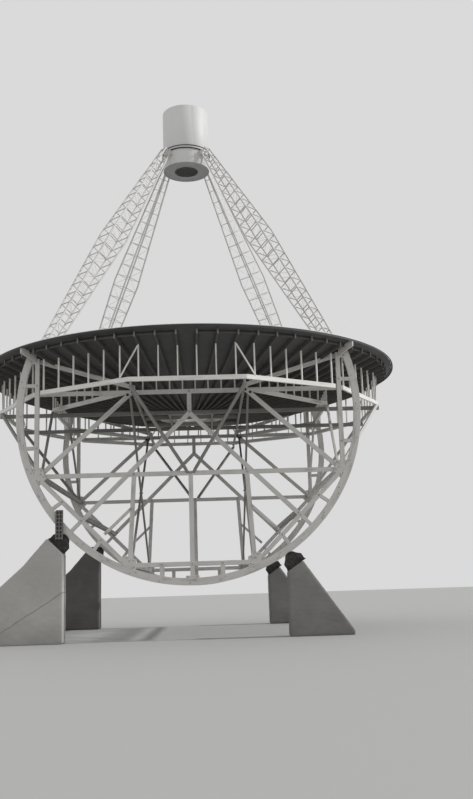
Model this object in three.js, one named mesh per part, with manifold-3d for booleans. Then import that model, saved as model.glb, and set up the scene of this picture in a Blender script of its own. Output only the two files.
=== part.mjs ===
// A timber-framed radio telescope dish that tilts on two open wheels above four concrete piers.
// Millimetres, +Z up, origin on the ground under the middle of the dish, tilt axis along Y.
import * as THREE from "three";
import { mergeVertices } from "three/addons/utils/BufferGeometryUtils.js";
import Module from "manifold-3d";

const wasm = await Module();
wasm.setup();

const GAP = 0.3;
const MERGE_WITHIN = 0.005;

// Reflector
const VERTEX_Z = 4950;
const FOCAL_LENGTH = 6096;
const RIM_RADIUS = 4785;
const SKIN_INNER = 350;
const SKIN_OUTER = 4744;
const SKIN_THICK = 1;
const RAFTER_COUNT = 72;
const RAFTER_STEP = 360 / RAFTER_COUNT;
const RAFTER_WIDE = 38;
const RAFTER_INNER = 745;
const RAFTER_OUTER = 4620;
const INNER_PURLIN = 800;
const OUTER_PURLIN = 4540;
const PURLIN_WIDE = 42;
const OUTRIGGER_INNER = 4404;
const OUTRIGGER_DEEP = 150;
const HUB_INNER = 340;
const RIM_BAND_TALL = 55;
const RIM_FOLD = 3;
const RIM_LIP_DROP = 15;

// Level at which the two rings, the floor beams and the wheels' top chords meet
const RING_Z = VERTEX_Z;
const STUD = 38;
const BOARD = 45;
const DEPTH = 90;
const OUTER_RING = 4243;
const INNER_RING = 3060;
const FLOOR_BEAM_AT = 1100;
const SHORT_BEAM_AT = 480;
const FLOOR_BEAM_Z = RING_Z - DEPTH - GAP;

// Wheels
const AXIS_Z = 4540;
const WHEEL_RADIUS = 3510;
const WHEEL_Y = 3060;
const RIM_DEEP = 143;
const RIM_THICK = 80;
const CHORD_AT = 3090;
const RIM_STEP_DEG = 3;
const LAST_WHOLE_DEG = 18;
const WHEEL_END_DEG = 20;
const CHORD_TOP_Z = VERTEX_Z + 735;
const SLOPE_INNER = [1115, VERTEX_Z + 95];
const SLOPE_OUTER = [3290, VERTEX_Z + 756];
const TIE_END_RADIUS = WHEEL_RADIUS - 60;
const TIE_DEEP = 70;
const UPPER_TIE_Z = VERTEX_Z + 170;
const LOWER_TIE_Z = VERTEX_Z - 1120;
const NODE_X = 1180;
const MID_BEAM_Z = AXIS_Z - CHORD_AT * Math.tan(THREE.MathUtils.degToRad(22.5));
const BOTTOM_CHORD_Z = AXIS_Z - CHORD_AT;
const FOOT_X = CHORD_AT * Math.SQRT1_2;
const FOOT_Z = AXIS_Z - FOOT_X;
const TRUSS_Y = WHEEL_Y - RIM_THICK / 2 - GAP - BOARD / 2;
const TRUSS_INSIDE = TRUSS_Y - BOARD / 2 - GAP;

// Piers and rollers
const SEAT_RADIUS = 3785;
const SEAT_HALF = 225;
const LEFT_ROLLER_DEG = 45;
const RIGHT_ROLLER_DEG = 33;
const RIGHT_SEAT_OUTER_HALF = 140;
const PIER_THICK = 450;
const PIER_TOE_X = 4600;
const PIER_BLUNT = 60;
const LEFT_SHOULDER = [3285, 1507];
const ROLLER_RADIUS = 110;
const ROLLER_CENTRE = WHEEL_RADIUS + GAP + ROLLER_RADIUS;
const CHEEK_AT = 70;
const CHEEK_THICK = 12;
const JACK_X = -2612;
const JACK_WIDE = 150;
const JACK_THICK = 46;
const JACK_LOW_Z = 1990;
const JACK_TOP_Z = 2560;

// Drum and legs
const DRUM_RADIUS = 570;
const DRUM_BOTTOM_Z = VERTEX_Z + 6245;
const DRUM_TALL = 1540;
const DRUM_WALL = 3;
const DRUM_HOLE = 290;
const DRUM_SIDES = 48;
const HOOP_Z = VERTEX_Z + 6660;
const LEG_TOP = new THREE.Vector3(478, 478, VERTEX_Z + 6600);
const LEG_FOOT = new THREE.Vector3(3050, 2990, VERTEX_Z + 760);

const group = new THREE.Group();

// Finishes
const PAINT = { color: 0xd8d6d0, roughness: 0.7, metalness: 0 };
const BARE_TIMBER = { color: 0x6b6862, roughness: 0.85, metalness: 0 };
const GALVANISED = { color: 0x8f9193, roughness: 0.5, metalness: 0.6 };
const CONCRETE = { color: 0xa8a7a3, roughness: 0.9, metalness: 0 };
const IRON = { color: 0x4a4a4b, roughness: 0.6, metalness: 0.5 };
const SHEET = { color: 0xc9c9c6, roughness: 0.45, metalness: 0.2 };

const radians = THREE.MathUtils.degToRad;
const at = (x, y, z) => new THREE.Vector3(x, y, z);

// Height of the reflecting surface above the ground at a distance from its axis.
function dishZ(radius) {
  return VERTEX_Z + radius ** 2 / (4 * FOCAL_LENGTH);
}

function solidOf(geometry) {
  const plain = geometry.index ? geometry.toNonIndexed() : geometry;
  const bare = new THREE.BufferGeometry().setAttribute("position", plain.getAttribute("position"));
  const merged = mergeVertices(bare, 1e-3);
  return new wasm.Manifold(
    new wasm.Mesh({
      numProp: 3,
      vertProperties: merged.attributes.position.array,
      triVerts: new Uint32Array(merged.index.array),
    }),
  );
}

function fuse(solids) {
  return solids.reduce((sum, next) => sum.add(next));
}

// Adds one named mesh, without the thin triangles that crossing coplanar faces leave.
function addNode(name, solid, finish) {
  const mesh = solid.asOriginal().simplify(MERGE_WITHIN).getMesh();
  const vertices = new Float32Array(mesh.numVert * 3);
  for (let i = 0; i < mesh.numVert; i += 1) {
    const start = i * mesh.numProp;
    vertices.set(mesh.vertProperties.subarray(start, start + 3), i * 3);
  }
  const geometry = new THREE.BufferGeometry();
  geometry.setAttribute("position", new THREE.BufferAttribute(vertices, 3));
  geometry.setIndex(new THREE.BufferAttribute(new Uint32Array(mesh.triVerts), 1));
  geometry.computeVertexNormals();
  const node = new THREE.Mesh(geometry, new THREE.MeshStandardMaterial(finish));
  node.name = name;
  group.add(node);
}

// A straight timber from start to end: wide along the side direction, deep across it.
function bar(start, end, wide, deep, side, extra = 0) {
  const along = end.clone().sub(start);
  const length = along.length() + 2 * extra;
  along.normalize();
  const across = side.clone().addScaledVector(along, -side.dot(along)).normalize();
  const third = along.clone().cross(across);
  const middle = start.clone().add(end).multiplyScalar(0.5);
  const place = new THREE.Matrix4().makeBasis(along, across, third).setPosition(middle);
  return solidOf(new THREE.BoxGeometry(length, wide, deep).applyMatrix4(place));
}

// A square stick through a row of points, its ends and bends cut along two given directions.
function loftSquares(points, half, across, third) {
  const positions = [];
  for (const point of points) {
    for (const [u, v] of [[-1, -1], [1, -1], [1, 1], [-1, 1]]) {
      const corner = point.clone().addScaledVector(across, u * half).addScaledVector(third, v * half);
      positions.push(...corner.toArray());
    }
  }
  const indices = [0, 2, 1, 0, 3, 2];
  for (let i = 0; i < points.length - 1; i += 1) {
    for (let j = 0; j < 4; j += 1) {
      const a = 4 * i + j;
      const b = 4 * i + ((j + 1) % 4);
      indices.push(a, b, b + 4, a, b + 4, a + 4);
    }
  }
  const last = 4 * (points.length - 1);
  indices.push(last, last + 1, last + 2, last, last + 2, last + 3);
  const geometry = new THREE.BufferGeometry();
  geometry.setAttribute("position", new THREE.Float32BufferAttribute(positions, 3));
  geometry.setIndex(indices);
  return solidOf(geometry);
}

function block(low, high) {
  const size = high.clone().sub(low);
  const middle = low.clone().add(high).multiplyScalar(0.5);
  const box = new THREE.BoxGeometry(size.x, size.y, size.z);
  return solidOf(box.translate(middle.x, middle.y, middle.z));
}

// A flat outline in X and Z, given thickness along Y about a middle plane.
function plate(outline, middleY, thick) {
  const shape = new THREE.Shape(outline.map(([x, z]) => new THREE.Vector2(x, z)));
  const geometry = new THREE.ExtrudeGeometry(shape, { depth: thick, bevelEnabled: false });
  geometry.rotateX(Math.PI / 2);
  return solidOf(geometry.translate(0, middleY + thick / 2, 0));
}

// A closed outline in radius and height, carried round the dish's axis between two bearings.
function sweep(outline, startDeg, endDeg, steps) {
  const whole = endDeg - startDeg >= 360;
  const count = outline.length;
  const positions = [];
  const indices = [];
  const rows = whole ? steps : steps + 1;
  for (let i = 0; i < rows; i += 1) {
    const bearing = radians(startDeg + ((endDeg - startDeg) * i) / steps);
    for (const [radius, z] of outline) {
      positions.push(radius * Math.cos(bearing), radius * Math.sin(bearing), z);
    }
  }
  for (let i = 0; i < steps; i += 1) {
    const row = i * count;
    const nextRow = ((i + 1) % rows) * count;
    for (let j = 0; j < count; j += 1) {
      const k = (j + 1) % count;
      indices.push(row + j, nextRow + j, nextRow + k, row + j, nextRow + k, row + k);
    }
  }
  if (!whole) {
    const flat = outline.map(([radius, z]) => new THREE.Vector2(radius, z));
    for (const [a, b, c] of THREE.ShapeUtils.triangulateShape(flat, [])) {
      const last = steps * count;
      indices.push(a, b, c, last + c, last + b, last + a);
    }
  }
  const geometry = new THREE.BufferGeometry();
  geometry.setAttribute("position", new THREE.Float32BufferAttribute(positions, 3));
  geometry.setIndex(indices);
  return solidOf(geometry);
}

// A round solid about an axis along Y, from a closed outline in radius and offset.
function turnedAcross(outline, centre, sides, phase) {
  const points = outline.map(([radius, offset]) => new THREE.Vector2(radius, offset));
  points.push(points[0].clone());
  const geometry = new THREE.LatheGeometry(points, sides).rotateY(phase);
  return solidOf(geometry.translate(centre.x, centre.y, centre.z));
}

function flipX(solid) {
  return solid.mirror([1, 0, 0]);
}

function flipY(solid) {
  return solid.mirror([0, 1, 0]);
}

// The point of the wheel plane at a distance from the axle, its bearing measured from +X towards +Z.
function wheelPoint(radius, bearingDeg) {
  const bearing = radians(bearingDeg);
  return [radius * Math.cos(bearing), AXIS_Z + radius * Math.sin(bearing)];
}

function inPlane(y, [x, z]) {
  return at(x, y, z);
}

const ALONG_X = at(1, 0, 0);
const ALONG_Y = at(0, 1, 0);
const UP = at(0, 0, 1);

// PIERS ON THE GROUND

// A block with a seat that faces the axle; its outer slope may fall more steeply down to a shoulder.
function makePier(rollerDeg, mirrored, outerHalf, shoulder) {
  const lean = radians(rollerDeg);
  const centre = [SEAT_RADIUS * Math.sin(lean), AXIS_Z - SEAT_RADIUS * Math.cos(lean)];
  const inner = [centre[0] - SEAT_HALF * Math.cos(lean), centre[1] - SEAT_HALF * Math.sin(lean)];
  const peak = [centre[0] + outerHalf * Math.cos(lean), centre[1] + outerHalf * Math.sin(lean)];
  const slope = (AXIS_Z - peak[1]) / peak[0];
  const upper = shoulder ?? peak;
  const outline = [[inner[0], 0]];
  const groundX = upper[0] + upper[1] / slope;
  if (PIER_TOE_X < groundX) {
    outline.push([PIER_TOE_X, 0], [PIER_TOE_X, upper[1] - (PIER_TOE_X - upper[0]) * slope]);
  } else {
    outline.push([groundX - PIER_BLUNT, 0], [groundX - PIER_BLUNT, PIER_BLUNT * slope]);
  }
  if (shoulder) {
    outline.push(shoulder);
  }
  outline.push(peak, inner);
  const solid = plate(outline, -WHEEL_Y, PIER_THICK);
  return mirrored ? flipX(solid) : solid;
}

function makeTruck(rollerDeg) {
  const lean = radians(rollerDeg);
  const turn = new THREE.Matrix4().makeRotationY(-lean);
  const place = (geometry) => {
    geometry.translate(0, 0, -SEAT_RADIUS).applyMatrix4(turn).translate(0, -WHEEL_Y, AXIS_Z);
    return solidOf(geometry);
  };
  const parts = [place(new THREE.BoxGeometry(420, 230, 25).translate(0, 0, 12.5 + GAP))];
  const axleUp = SEAT_RADIUS - ROLLER_CENTRE;
  for (const side of [-1, 1]) {
    const outline = new THREE.Shape([
      new THREE.Vector2(-200, 20),
      new THREE.Vector2(200, 20),
      new THREE.Vector2(200, 140),
      new THREE.Vector2(80, 250),
      new THREE.Vector2(-80, 250),
      new THREE.Vector2(-200, 140),
    ]);
    const cheek = new THREE.ExtrudeGeometry(outline, { depth: CHEEK_THICK, bevelEnabled: false });
    cheek.rotateX(Math.PI / 2).translate(0, CHEEK_THICK / 2 + side * CHEEK_AT, 0);
    parts.push(place(cheek));
    const boss = new THREE.CylinderGeometry(24, 24, 22, 16).translate(0, side * (CHEEK_AT + 11), axleUp);
    parts.push(place(boss));
  }
  const axle = new THREE.CylinderGeometry(18, 18, 160, 24).translate(0, 0, axleUp);
  parts.push(place(axle));
  return fuse(parts);
}

// The upright jack post that stands on the outer cheek of the near left truck.
function makeJackPost() {
  const cheekFace = -WHEEL_Y - CHEEK_AT - CHEEK_THICK / 2;
  const back = cheekFace + CHEEK_THICK / 2;
  return block(
    at(JACK_X - JACK_WIDE / 2, back - JACK_THICK, JACK_LOW_Z),
    at(JACK_X + JACK_WIDE / 2, back, JACK_TOP_Z),
  );
}

function makeRoller(rollerDeg) {
  const bore = 18.25;
  const flange = ROLLER_RADIUS + 20;
  const outline = [
    [bore, -58],
    [flange, -58],
    [flange, -46],
    [ROLLER_RADIUS, -45.5],
    [ROLLER_RADIUS, 45.5],
    [flange, 46],
    [flange, 58],
    [bore, 58],
  ];
  const lean = radians(rollerDeg);
  const x = ROLLER_CENTRE * Math.sin(lean);
  const z = AXIS_Z - ROLLER_CENTRE * Math.cos(lean);
  return turnedAcross(outline, at(x, -WHEEL_Y, z), 24, -lean);
}

// WHEELS

// Every whole step is a corner of the rim's outline, so that one lies over each roller.
function rimArc() {
  const bearings = [-180 - WHEEL_END_DEG];
  for (let bearing = -180 - LAST_WHOLE_DEG; bearing <= LAST_WHOLE_DEG; bearing += RIM_STEP_DEG) {
    bearings.push(bearing);
  }
  bearings.push(WHEEL_END_DEG);
  const outer = bearings.map((bearing) => wheelPoint(WHEEL_RADIUS, bearing));
  const inner = bearings.map((bearing) => wheelPoint(WHEEL_RADIUS - RIM_DEEP, bearing));
  return plate([...outer, ...inner.reverse()], -WHEEL_Y, RIM_THICK);
}

// Octagon of chords inside the rim, open at the top, with ties and gussets that hold it to the rim.
function makeWheelRim() {
  const y = -WHEEL_Y;
  const corner = CHORD_AT / Math.cos(radians(22.5));
  const parts = [rimArc()];
  const member = (start, end, deep) => bar(inPlane(y, start), inPlane(y, end), RIM_THICK, deep, ALONG_Y);
  for (const bearing of [-135, -90, -45]) {
    parts.push(member(wheelPoint(corner, bearing - 22.5), wheelPoint(corner, bearing + 22.5), DEPTH));
  }
  const inRim = (offAxle) => Math.sqrt(TIE_END_RADIUS ** 2 - offAxle ** 2);
  const facing = (side, outline) => {
    const turned = outline.map(([x, z]) => [side * x, z]);
    return side > 0 ? turned : turned.reverse();
  };
  for (const side of [-1, 1]) {
    parts.push(member([side * CHORD_AT, MID_BEAM_Z], [side * CHORD_AT, CHORD_TOP_Z], DEPTH));
    for (const z of [UPPER_TIE_Z, LOWER_TIE_Z]) {
      parts.push(member([side * CHORD_AT, z], [side * inRim(z - AXIS_Z), z], TIE_DEEP));
    }
    const topPlate = [
      [CHORD_AT - 30, VERTEX_Z + 625],
      [SLOPE_OUTER[0], VERTEX_Z + 625],
      [SLOPE_OUTER[0] - 10, VERTEX_Z + 772],
      [CHORD_AT - 30, CHORD_TOP_Z - 5],
    ];
    parts.push(plate(facing(side, topPlate), y, RIM_THICK));
    for (const bearing of [-22.5, -67.5]) {
      const [x, z] = wheelPoint(corner - 60, bearing);
      const gusset = [
        [-190, -75],
        [190, -75],
        [120, 110],
        [-120, 110],
      ].map(([u, v]) => {
        const turn = radians(bearing + 90);
        const dx = u * Math.cos(turn) - v * Math.sin(turn);
        const dz = u * Math.sin(turn) + v * Math.cos(turn);
        return [x + dx, z + dz];
      });
      parts.push(plate(facing(side, gusset), y, RIM_THICK));
    }
    for (const bearing of [-45, -35, -55]) {
      const from = wheelPoint(CHORD_AT / Math.cos(radians(bearing + 45)), bearing);
      const to = wheelPoint(TIE_END_RADIUS, bearing);
      parts.push(member([side * from[0], from[1]], [side * to[0], to[1]], TIE_DEEP));
    }
  }
  for (const x of [0, -600, 600]) {
    parts.push(member([x, BOTTOM_CHORD_Z], [x, AXIS_Z - inRim(x)], DEPTH));
  }
  return fuse(parts);
}

// The beam that follows the dish from the top chord out to the wheel's end, grown by a margin.
function makeSlopedBeam(side, margin) {
  const start = inPlane(-TRUSS_Y, [side * SLOPE_INNER[0], SLOPE_INNER[1]]);
  const end = inPlane(-TRUSS_Y, [side * SLOPE_OUTER[0], SLOPE_OUTER[1]]);
  return bar(start, end, BOARD + 2 * margin, DEPTH + 2 * margin, ALONG_Y, margin);
}

// The straight members inside one wheel, lapped on the rim's inner side, with its row of short posts.
function makeWheelTruss() {
  const y = -TRUSS_Y;
  const low = DEPTH / 2;
  const member = (start, end, deep = DEPTH, extra = 0) =>
    bar(inPlane(y, start), inPlane(y, end), BOARD, deep, ALONG_Y, extra);
  const parts = [
    member([-CHORD_AT - low, RING_Z], [CHORD_AT + low, RING_Z]),
    member([-CHORD_AT - low, MID_BEAM_Z], [CHORD_AT + low, MID_BEAM_Z]),
    member([-1280, BOTTOM_CHORD_Z], [1280, BOTTOM_CHORD_Z]),
    member([0, RING_Z], [0, AXIS_Z - 60]),
    member([0, MID_BEAM_Z], [0, BOTTOM_CHORD_Z]),
  ];
  for (let bearing = -107.5; bearing <= -72.5; bearing += RAFTER_STEP) {
    parts.push(makePost(innerReach(bearing), bearing));
  }
  for (const side of [-1, 1]) {
    parts.push(makeSlopedBeam(side, 0));
    parts.push(member([side * (SLOPE_INNER[0] - 15), RING_Z + 62], [side * (SLOPE_INNER[0] + 95), RING_Z + 62], 60));
    parts.push(member([side * NODE_X, RING_Z], [side * (CHORD_AT - 60), MID_BEAM_Z + 20]));
    parts.push(member([0, AXIS_Z - 40], [side * FOOT_X, FOOT_Z], DEPTH, 25));
    parts.push(member([side * 1140, MID_BEAM_Z], [side * 1240, BOTTOM_CHORD_Z + 10]));
  }
  parts.push(member([1200, AXIS_Z - 1960], [1725, AXIS_Z - 2450], 60, 20));
  parts.push(member([-1200, AXIS_Z - 1960], [-1725, AXIS_Z - 2450], 60, 20));
  return fuse(parts);
}

// FRAME UNDER THE DISH

// The strut that rises from the middle of a wheel's mid beam to the end of a floor beam.
function makeEndStrut(beamEnd) {
  const wheelFace = TRUSS_Y + BOARD / 2 + GAP;
  const head = at(FLOOR_BEAM_AT, beamEnd - 50, FLOOR_BEAM_Z);
  const foot = at(30, wheelFace - 30, MID_BEAM_Z);
  const keep = block(at(2, wheelFace, 0), at(2000, 5000, FLOOR_BEAM_Z - DEPTH / 2 + 12));
  return bar(head, foot, 54, 66, ALONG_X, 20).intersect(keep);
}

// Two long and two short beams each way under the rings, with the struts under the long ones' ends.
function makeFloorBeams() {
  const z = FLOOR_BEAM_Z;
  const reach = OUTER_RING + 25;
  const strut = makeEndStrut(reach);
  const parts = [strut, flipX(strut), flipY(strut), flipX(flipY(strut))];
  for (const side of [-1, 1]) {
    for (const [place, half] of [[FLOOR_BEAM_AT, reach], [SHORT_BEAM_AT, FLOOR_BEAM_AT]]) {
      const middle = side * place;
      parts.push(bar(at(middle, -half, z), at(middle, half, z), BOARD, DEPTH, ALONG_X));
      parts.push(bar(at(-half, middle, z), at(half, middle, z), BOARD, DEPTH, ALONG_Y));
    }
  }
  return fuse(parts);
}

function makeInnerRingSide() {
  const cornerHalf = INNER_RING * Math.tan(radians(22.5));
  const edge = TRUSS_INSIDE;
  const side = bar(at(INNER_RING, -edge, RING_Z), at(INNER_RING, edge, RING_Z), BOARD, DEPTH, ALONG_X);
  const parts = [side];
  for (const end of [-1, 1]) {
    const outward = at(1, end, 0);
    parts.push(
      bar(
        at(INNER_RING, end * cornerHalf, RING_Z),
        at(cornerHalf, end * INNER_RING, RING_Z),
        BOARD,
        DEPTH,
        outward,
      ),
    );
  }
  const keep = block(at(0, -edge, RING_Z - 200), at(INNER_RING + 200, edge, RING_Z + 200));
  const ring = fuse(parts).intersect(keep);
  const posts = [];
  for (let bearing = -62.5; bearing <= 62.5; bearing += RAFTER_STEP) {
    posts.push(makePost(innerReach(bearing), bearing));
  }
  return fuse([ring, ...posts]);
}

// A quarter of the twelve-sided ring, centred on +X, that stops short of the wheels' corners, with its posts.
function makeOuterRingQuarter(stopY) {
  const stretch = 1 / Math.cos(radians(15));
  const outline = [
    [(OUTER_RING - BOARD / 2) * stretch, RING_Z - DEPTH / 2],
    [(OUTER_RING + BOARD / 2) * stretch, RING_Z - DEPTH / 2],
    [(OUTER_RING + BOARD / 2) * stretch, RING_Z + DEPTH / 2],
    [(OUTER_RING - BOARD / 2) * stretch, RING_Z + DEPTH / 2],
  ];
  const keep = block(at(0, -stopY, RING_Z - 200), at(5000, stopY, RING_Z + 200));
  const posts = [];
  for (let bearing = -42.5; bearing <= 42.5; bearing += RAFTER_STEP) {
    posts.push(makePost(ringReach(OUTER_RING, 12, bearing), bearing));
  }
  return fuse([sweep(outline, -45, 45, 3).intersect(keep), ...posts]);
}

// Tie between the wheels at the mid beams, with its knee struts and outriggers to the two rings.
function makeSideBrace() {
  const z = MID_BEAM_Z;
  const x = CHORD_AT - 70;
  const edge = TRUSS_INSIDE;
  const top = RING_Z - DEPTH / 2 - GAP;
  const parts = [bar(at(x, -edge, z), at(x, edge, z), DEPTH, DEPTH, UP)];
  for (const side of [-1, 1]) {
    const start = at(x, side * (edge - 70), z);
    parts.push(bar(start, at(INNER_RING, side * 1330, top + 10), BOARD, 70, ALONG_X));
    parts.push(bar(start, at(4200, side * 1300, top + 10), BOARD, 70, at(1, side, 0)));
  }
  const keep = block(at(2000, -edge, 0), at(5000, edge, top));
  return fuse(parts).intersect(keep);
}

// Tie between the wheels' bottoms with a pair of long diagonals up to the floor beams.
function makeSwayBrace() {
  const x = 1215;
  const edge = TRUSS_INSIDE;
  const low = BOTTOM_CHORD_Z;
  const top = RING_Z - DEPTH / 2 - GAP;
  const parts = [bar(at(x, -edge, low), at(x, edge, low), DEPTH, DEPTH, UP)];
  for (const side of [-1, 1]) {
    parts.push(bar(at(x, side * (edge - 50), low), at(x, -side * (edge - 60), top), BOARD, 70, ALONG_X, 40));
  }
  const keep = block(at(0, -edge, 0), at(3000, edge, top));
  return fuse(parts).intersect(keep);
}

function makeFootTie() {
  const edge = TRUSS_INSIDE;
  const x = FOOT_X - 60;
  const z = FOOT_Z + 60;
  return bar(at(x, -edge, z), at(x, edge, z), DEPTH, DEPTH, UP);
}

// DISH

const BREAKS = [RAFTER_INNER, 1450, 2500, 3600, RAFTER_OUTER];
const RAFTER_DEPTHS = [68, 86, 88, 92, 100];

function rafterBottom(radius) {
  let i = 0;
  while (i < BREAKS.length - 2 && radius > BREAKS[i + 1]) {
    i += 1;
  }
  const share = (radius - BREAKS[i]) / (BREAKS[i + 1] - BREAKS[i]);
  const low = dishZ(BREAKS[i]) - RAFTER_DEPTHS[i];
  const high = dishZ(BREAKS[i + 1]) - RAFTER_DEPTHS[i + 1];
  return low + (high - low) * share;
}

function upright(outline, thick, bearingDeg) {
  return plate(outline, 0, thick).rotate([0, 0, bearingDeg]);
}

function makeRafter(bearingDeg) {
  const under = SKIN_THICK + 2 * GAP;
  const top = BREAKS.map((radius) => [radius, dishZ(radius) - under]);
  const bottom = BREAKS.map((radius, i) => [radius, dishZ(radius) - RAFTER_DEPTHS[i]]);
  return upright([...bottom, ...top.reverse()], RAFTER_WIDE, bearingDeg);
}

// A short post on a ring, its head cut to the slope of the rafter over it.
function makePost(radius, bearingDeg) {
  const foot = RING_Z + DEPTH / 2 - 10;
  const half = STUD / 2;
  const outline = [
    [radius - half, foot],
    [radius + half, foot],
    [radius + half, rafterBottom(radius + half) - GAP],
    [radius - half, rafterBottom(radius - half) - GAP],
  ];
  return upright(outline, RAFTER_WIDE - 6, bearingDeg);
}

// Distance from the dish's axis to a ring of flat sides, in a bearing.
function ringReach(apothem, sides, bearingDeg) {
  const step = 360 / sides;
  const off = bearingDeg - Math.round(bearingDeg / step) * step;
  return apothem / Math.cos(radians(off));
}

function innerReach(bearingDeg) {
  const fromY = Math.abs(Math.abs(((bearingDeg % 360) + 360) % 360 - 180) - 90);
  return fromY < 22.5 ? TRUSS_Y / Math.cos(radians(fromY)) : ringReach(INNER_RING, 8, bearingDeg);
}

// Blocking between the rafters, that follows the slope of the dish.
function purlinOutline(radius, low, high) {
  const outer = radius + PURLIN_WIDE;
  return [
    [radius, dishZ(radius) - low],
    [outer, dishZ(outer) - low],
    [outer, dishZ(outer) - high],
    [radius, dishZ(radius) - high],
  ];
}

// The board from a wheel's top corner out to the edge of the dish, under the fold of the rim band.
function makeOutrigger(bearingDeg) {
  const midFacet = Math.cos(radians(RAFTER_STEP / 2));
  const outer = (RIM_RADIUS - RIM_FOLD) * midFacet - 1;
  const lip = SKIN_OUTER * midFacet - 3;
  const under = SKIN_THICK + 2 * GAP;
  const lipUnder = RIM_LIP_DROP + RIM_FOLD + 4;
  const outline = [
    [OUTRIGGER_INNER, dishZ(OUTRIGGER_INNER) - OUTRIGGER_DEEP],
    [outer, dishZ(outer) - OUTRIGGER_DEEP],
    [outer, dishZ(outer) - lipUnder],
    [lip, dishZ(lip) - lipUnder],
    [lip, dishZ(lip) - under],
    [OUTRIGGER_INNER, dishZ(OUTRIGGER_INNER) - under],
  ];
  return upright(outline, RAFTER_WIDE, bearingDeg);
}

// The wheels' ends and sloped beams with a small margin, which the rafters over them are notched for.
function wheelEndRoom(sideX, sideY) {
  const sloped = makeSlopedBeam(sideX, GAP);
  const end = block(
    at(3120, -WHEEL_Y - RIM_THICK / 2 - GAP, VERTEX_Z + 560),
    at(3330, -WHEEL_Y + RIM_THICK / 2 + GAP, VERTEX_Z + 791),
  );
  const room = sloped.add(sideX > 0 ? end : flipX(end));
  return sideY > 0 ? flipY(room) : room;
}

function makeRafterBay(firstRafter, count, sideX, sideY) {
  const start = (firstRafter + 0.5) * RAFTER_STEP;
  const end = start + (count - 1) * RAFTER_STEP;
  const parts = [];
  for (let i = 0; i < count; i += 1) {
    parts.push(makeRafter(start + i * RAFTER_STEP));
  }
  parts.push(sweep(purlinOutline(INNER_PURLIN, 60, 20), start, end, count - 1));
  parts.push(sweep(purlinOutline(OUTER_PURLIN, 46, 12), start, end, count - 1));
  parts.push(makeOutrigger((start + end) / 2));
  return fuse(parts).subtract(wheelEndRoom(sideX, sideY));
}

function makeSkinSector(firstRafter, count) {
  const start = (firstRafter + 0.5) * RAFTER_STEP;
  const shift = THREE.MathUtils.radToDeg(0.25 / SKIN_OUTER);
  const radii = [SKIN_INNER, ...BREAKS.slice(0, -1), SKIN_OUTER];
  const top = radii.map((radius) => [radius, dishZ(radius)]);
  const under = radii.map((radius) => [radius, dishZ(radius) - SKIN_THICK]);
  const outline = [...under, ...top.reverse()];
  return sweep(outline, start + shift, start + count * RAFTER_STEP - shift, count);
}

function makeHub() {
  const top = dishZ(SKIN_INNER) - SKIN_THICK - GAP;
  const bottom = RING_Z - DEPTH / 2;
  const outline = [
    [HUB_INNER, bottom],
    [RAFTER_INNER - 1, bottom],
    [RAFTER_INNER - 1, top],
    [HUB_INNER, top],
  ];
  return sweep(outline, 0, 360, RAFTER_COUNT / 2);
}

function makeRimBand() {
  const top = dishZ(RIM_RADIUS) + 1;
  const inner = SKIN_OUTER + GAP;
  const outline = [
    [RIM_RADIUS - RIM_FOLD, top - RIM_BAND_TALL],
    [RIM_RADIUS, top - RIM_BAND_TALL],
    [RIM_RADIUS, top],
    [inner, top - RIM_LIP_DROP],
    [inner, top - RIM_LIP_DROP - RIM_FOLD],
    [RIM_RADIUS - RIM_FOLD, top - RIM_FOLD],
  ];
  return sweep(outline, 2.5, 362.5, RAFTER_COUNT);
}

// DRUM AND LEGS

// One lattice leg: four rails that spread towards the middle, joined by square frames.
function makeLeg() {
  const down = LEG_FOOT.clone().sub(LEG_TOP);
  const along = down.clone().normalize();
  const sideways = at(-along.y, along.x, 0).normalize();
  const outward = along.clone().cross(sideways).normalize();
  const stations = [0, 0.18, 0.38, 0.58, 0.79];
  const halfAt = (share) => (share < 0.46 ? 75 + (share / 0.46) * 145 : 220 - ((share - 0.46) / 0.54) * 110);
  const cornerAt = (share, i) => {
    const half = halfAt(share);
    const [u, v] = [[-1, -1], [1, -1], [1, 1], [-1, 1]][i];
    return LEG_TOP.clone().addScaledVector(down, share).addScaledVector(sideways, u * half).addScaledVector(outward, v * half);
  };
  const parts = [];
  for (let i = 0; i < 4; i += 1) {
    parts.push(loftSquares([0, 0.46, 1].map((share) => cornerAt(share, i)), 17, sideways, outward));
    for (const share of stations) {
      parts.push(bar(cornerAt(share, i), cornerAt(share, (i + 1) % 4), 24, 24, along));
    }
  }
  const spread = Math.hypot(LEG_FOOT.x, LEG_FOOT.y);
  const outwards = at(LEG_FOOT.x / spread, LEG_FOOT.y / spread, spread / (2 * FOCAL_LENGTH));
  const middle = at(LEG_FOOT.x, LEG_FOOT.y, dishZ(spread) + 30);
  const start = middle.clone().addScaledVector(outwards, -150);
  const end = middle.clone().addScaledVector(outwards, 150);
  const normal = sideways.clone().cross(outwards).normalize();
  normal.multiplyScalar(Math.sign(normal.z));
  const kept = fuse(parts).trimByPlane(normal.toArray(), normal.dot(middle));
  const near = (DRUM_RADIUS - 20) * Math.SQRT1_2;
  const headZ = LEG_TOP.z - 55;
  const head = bar(at(near, near, headZ), at(LEG_TOP.x, LEG_TOP.y, headZ), 110, 190, UP);
  const drum = turnedUp(
    [
      [0, LEG_TOP.z - 400],
      [DRUM_RADIUS + GAP, LEG_TOP.z - 400],
      [DRUM_RADIUS + GAP, LEG_TOP.z + 400],
      [0, LEG_TOP.z + 400],
    ],
    DRUM_SIDES,
  );
  return kept.add(bar(start, end, 300, 25, sideways)).add(head).subtract(drum);
}

function turnedUp(outline, sides) {
  const points = outline.map(([radius, z]) => new THREE.Vector2(radius, z));
  points.push(points[0].clone());
  const geometry = new THREE.LatheGeometry(points, sides);
  return solidOf(geometry.rotateX(Math.PI / 2));
}

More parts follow.
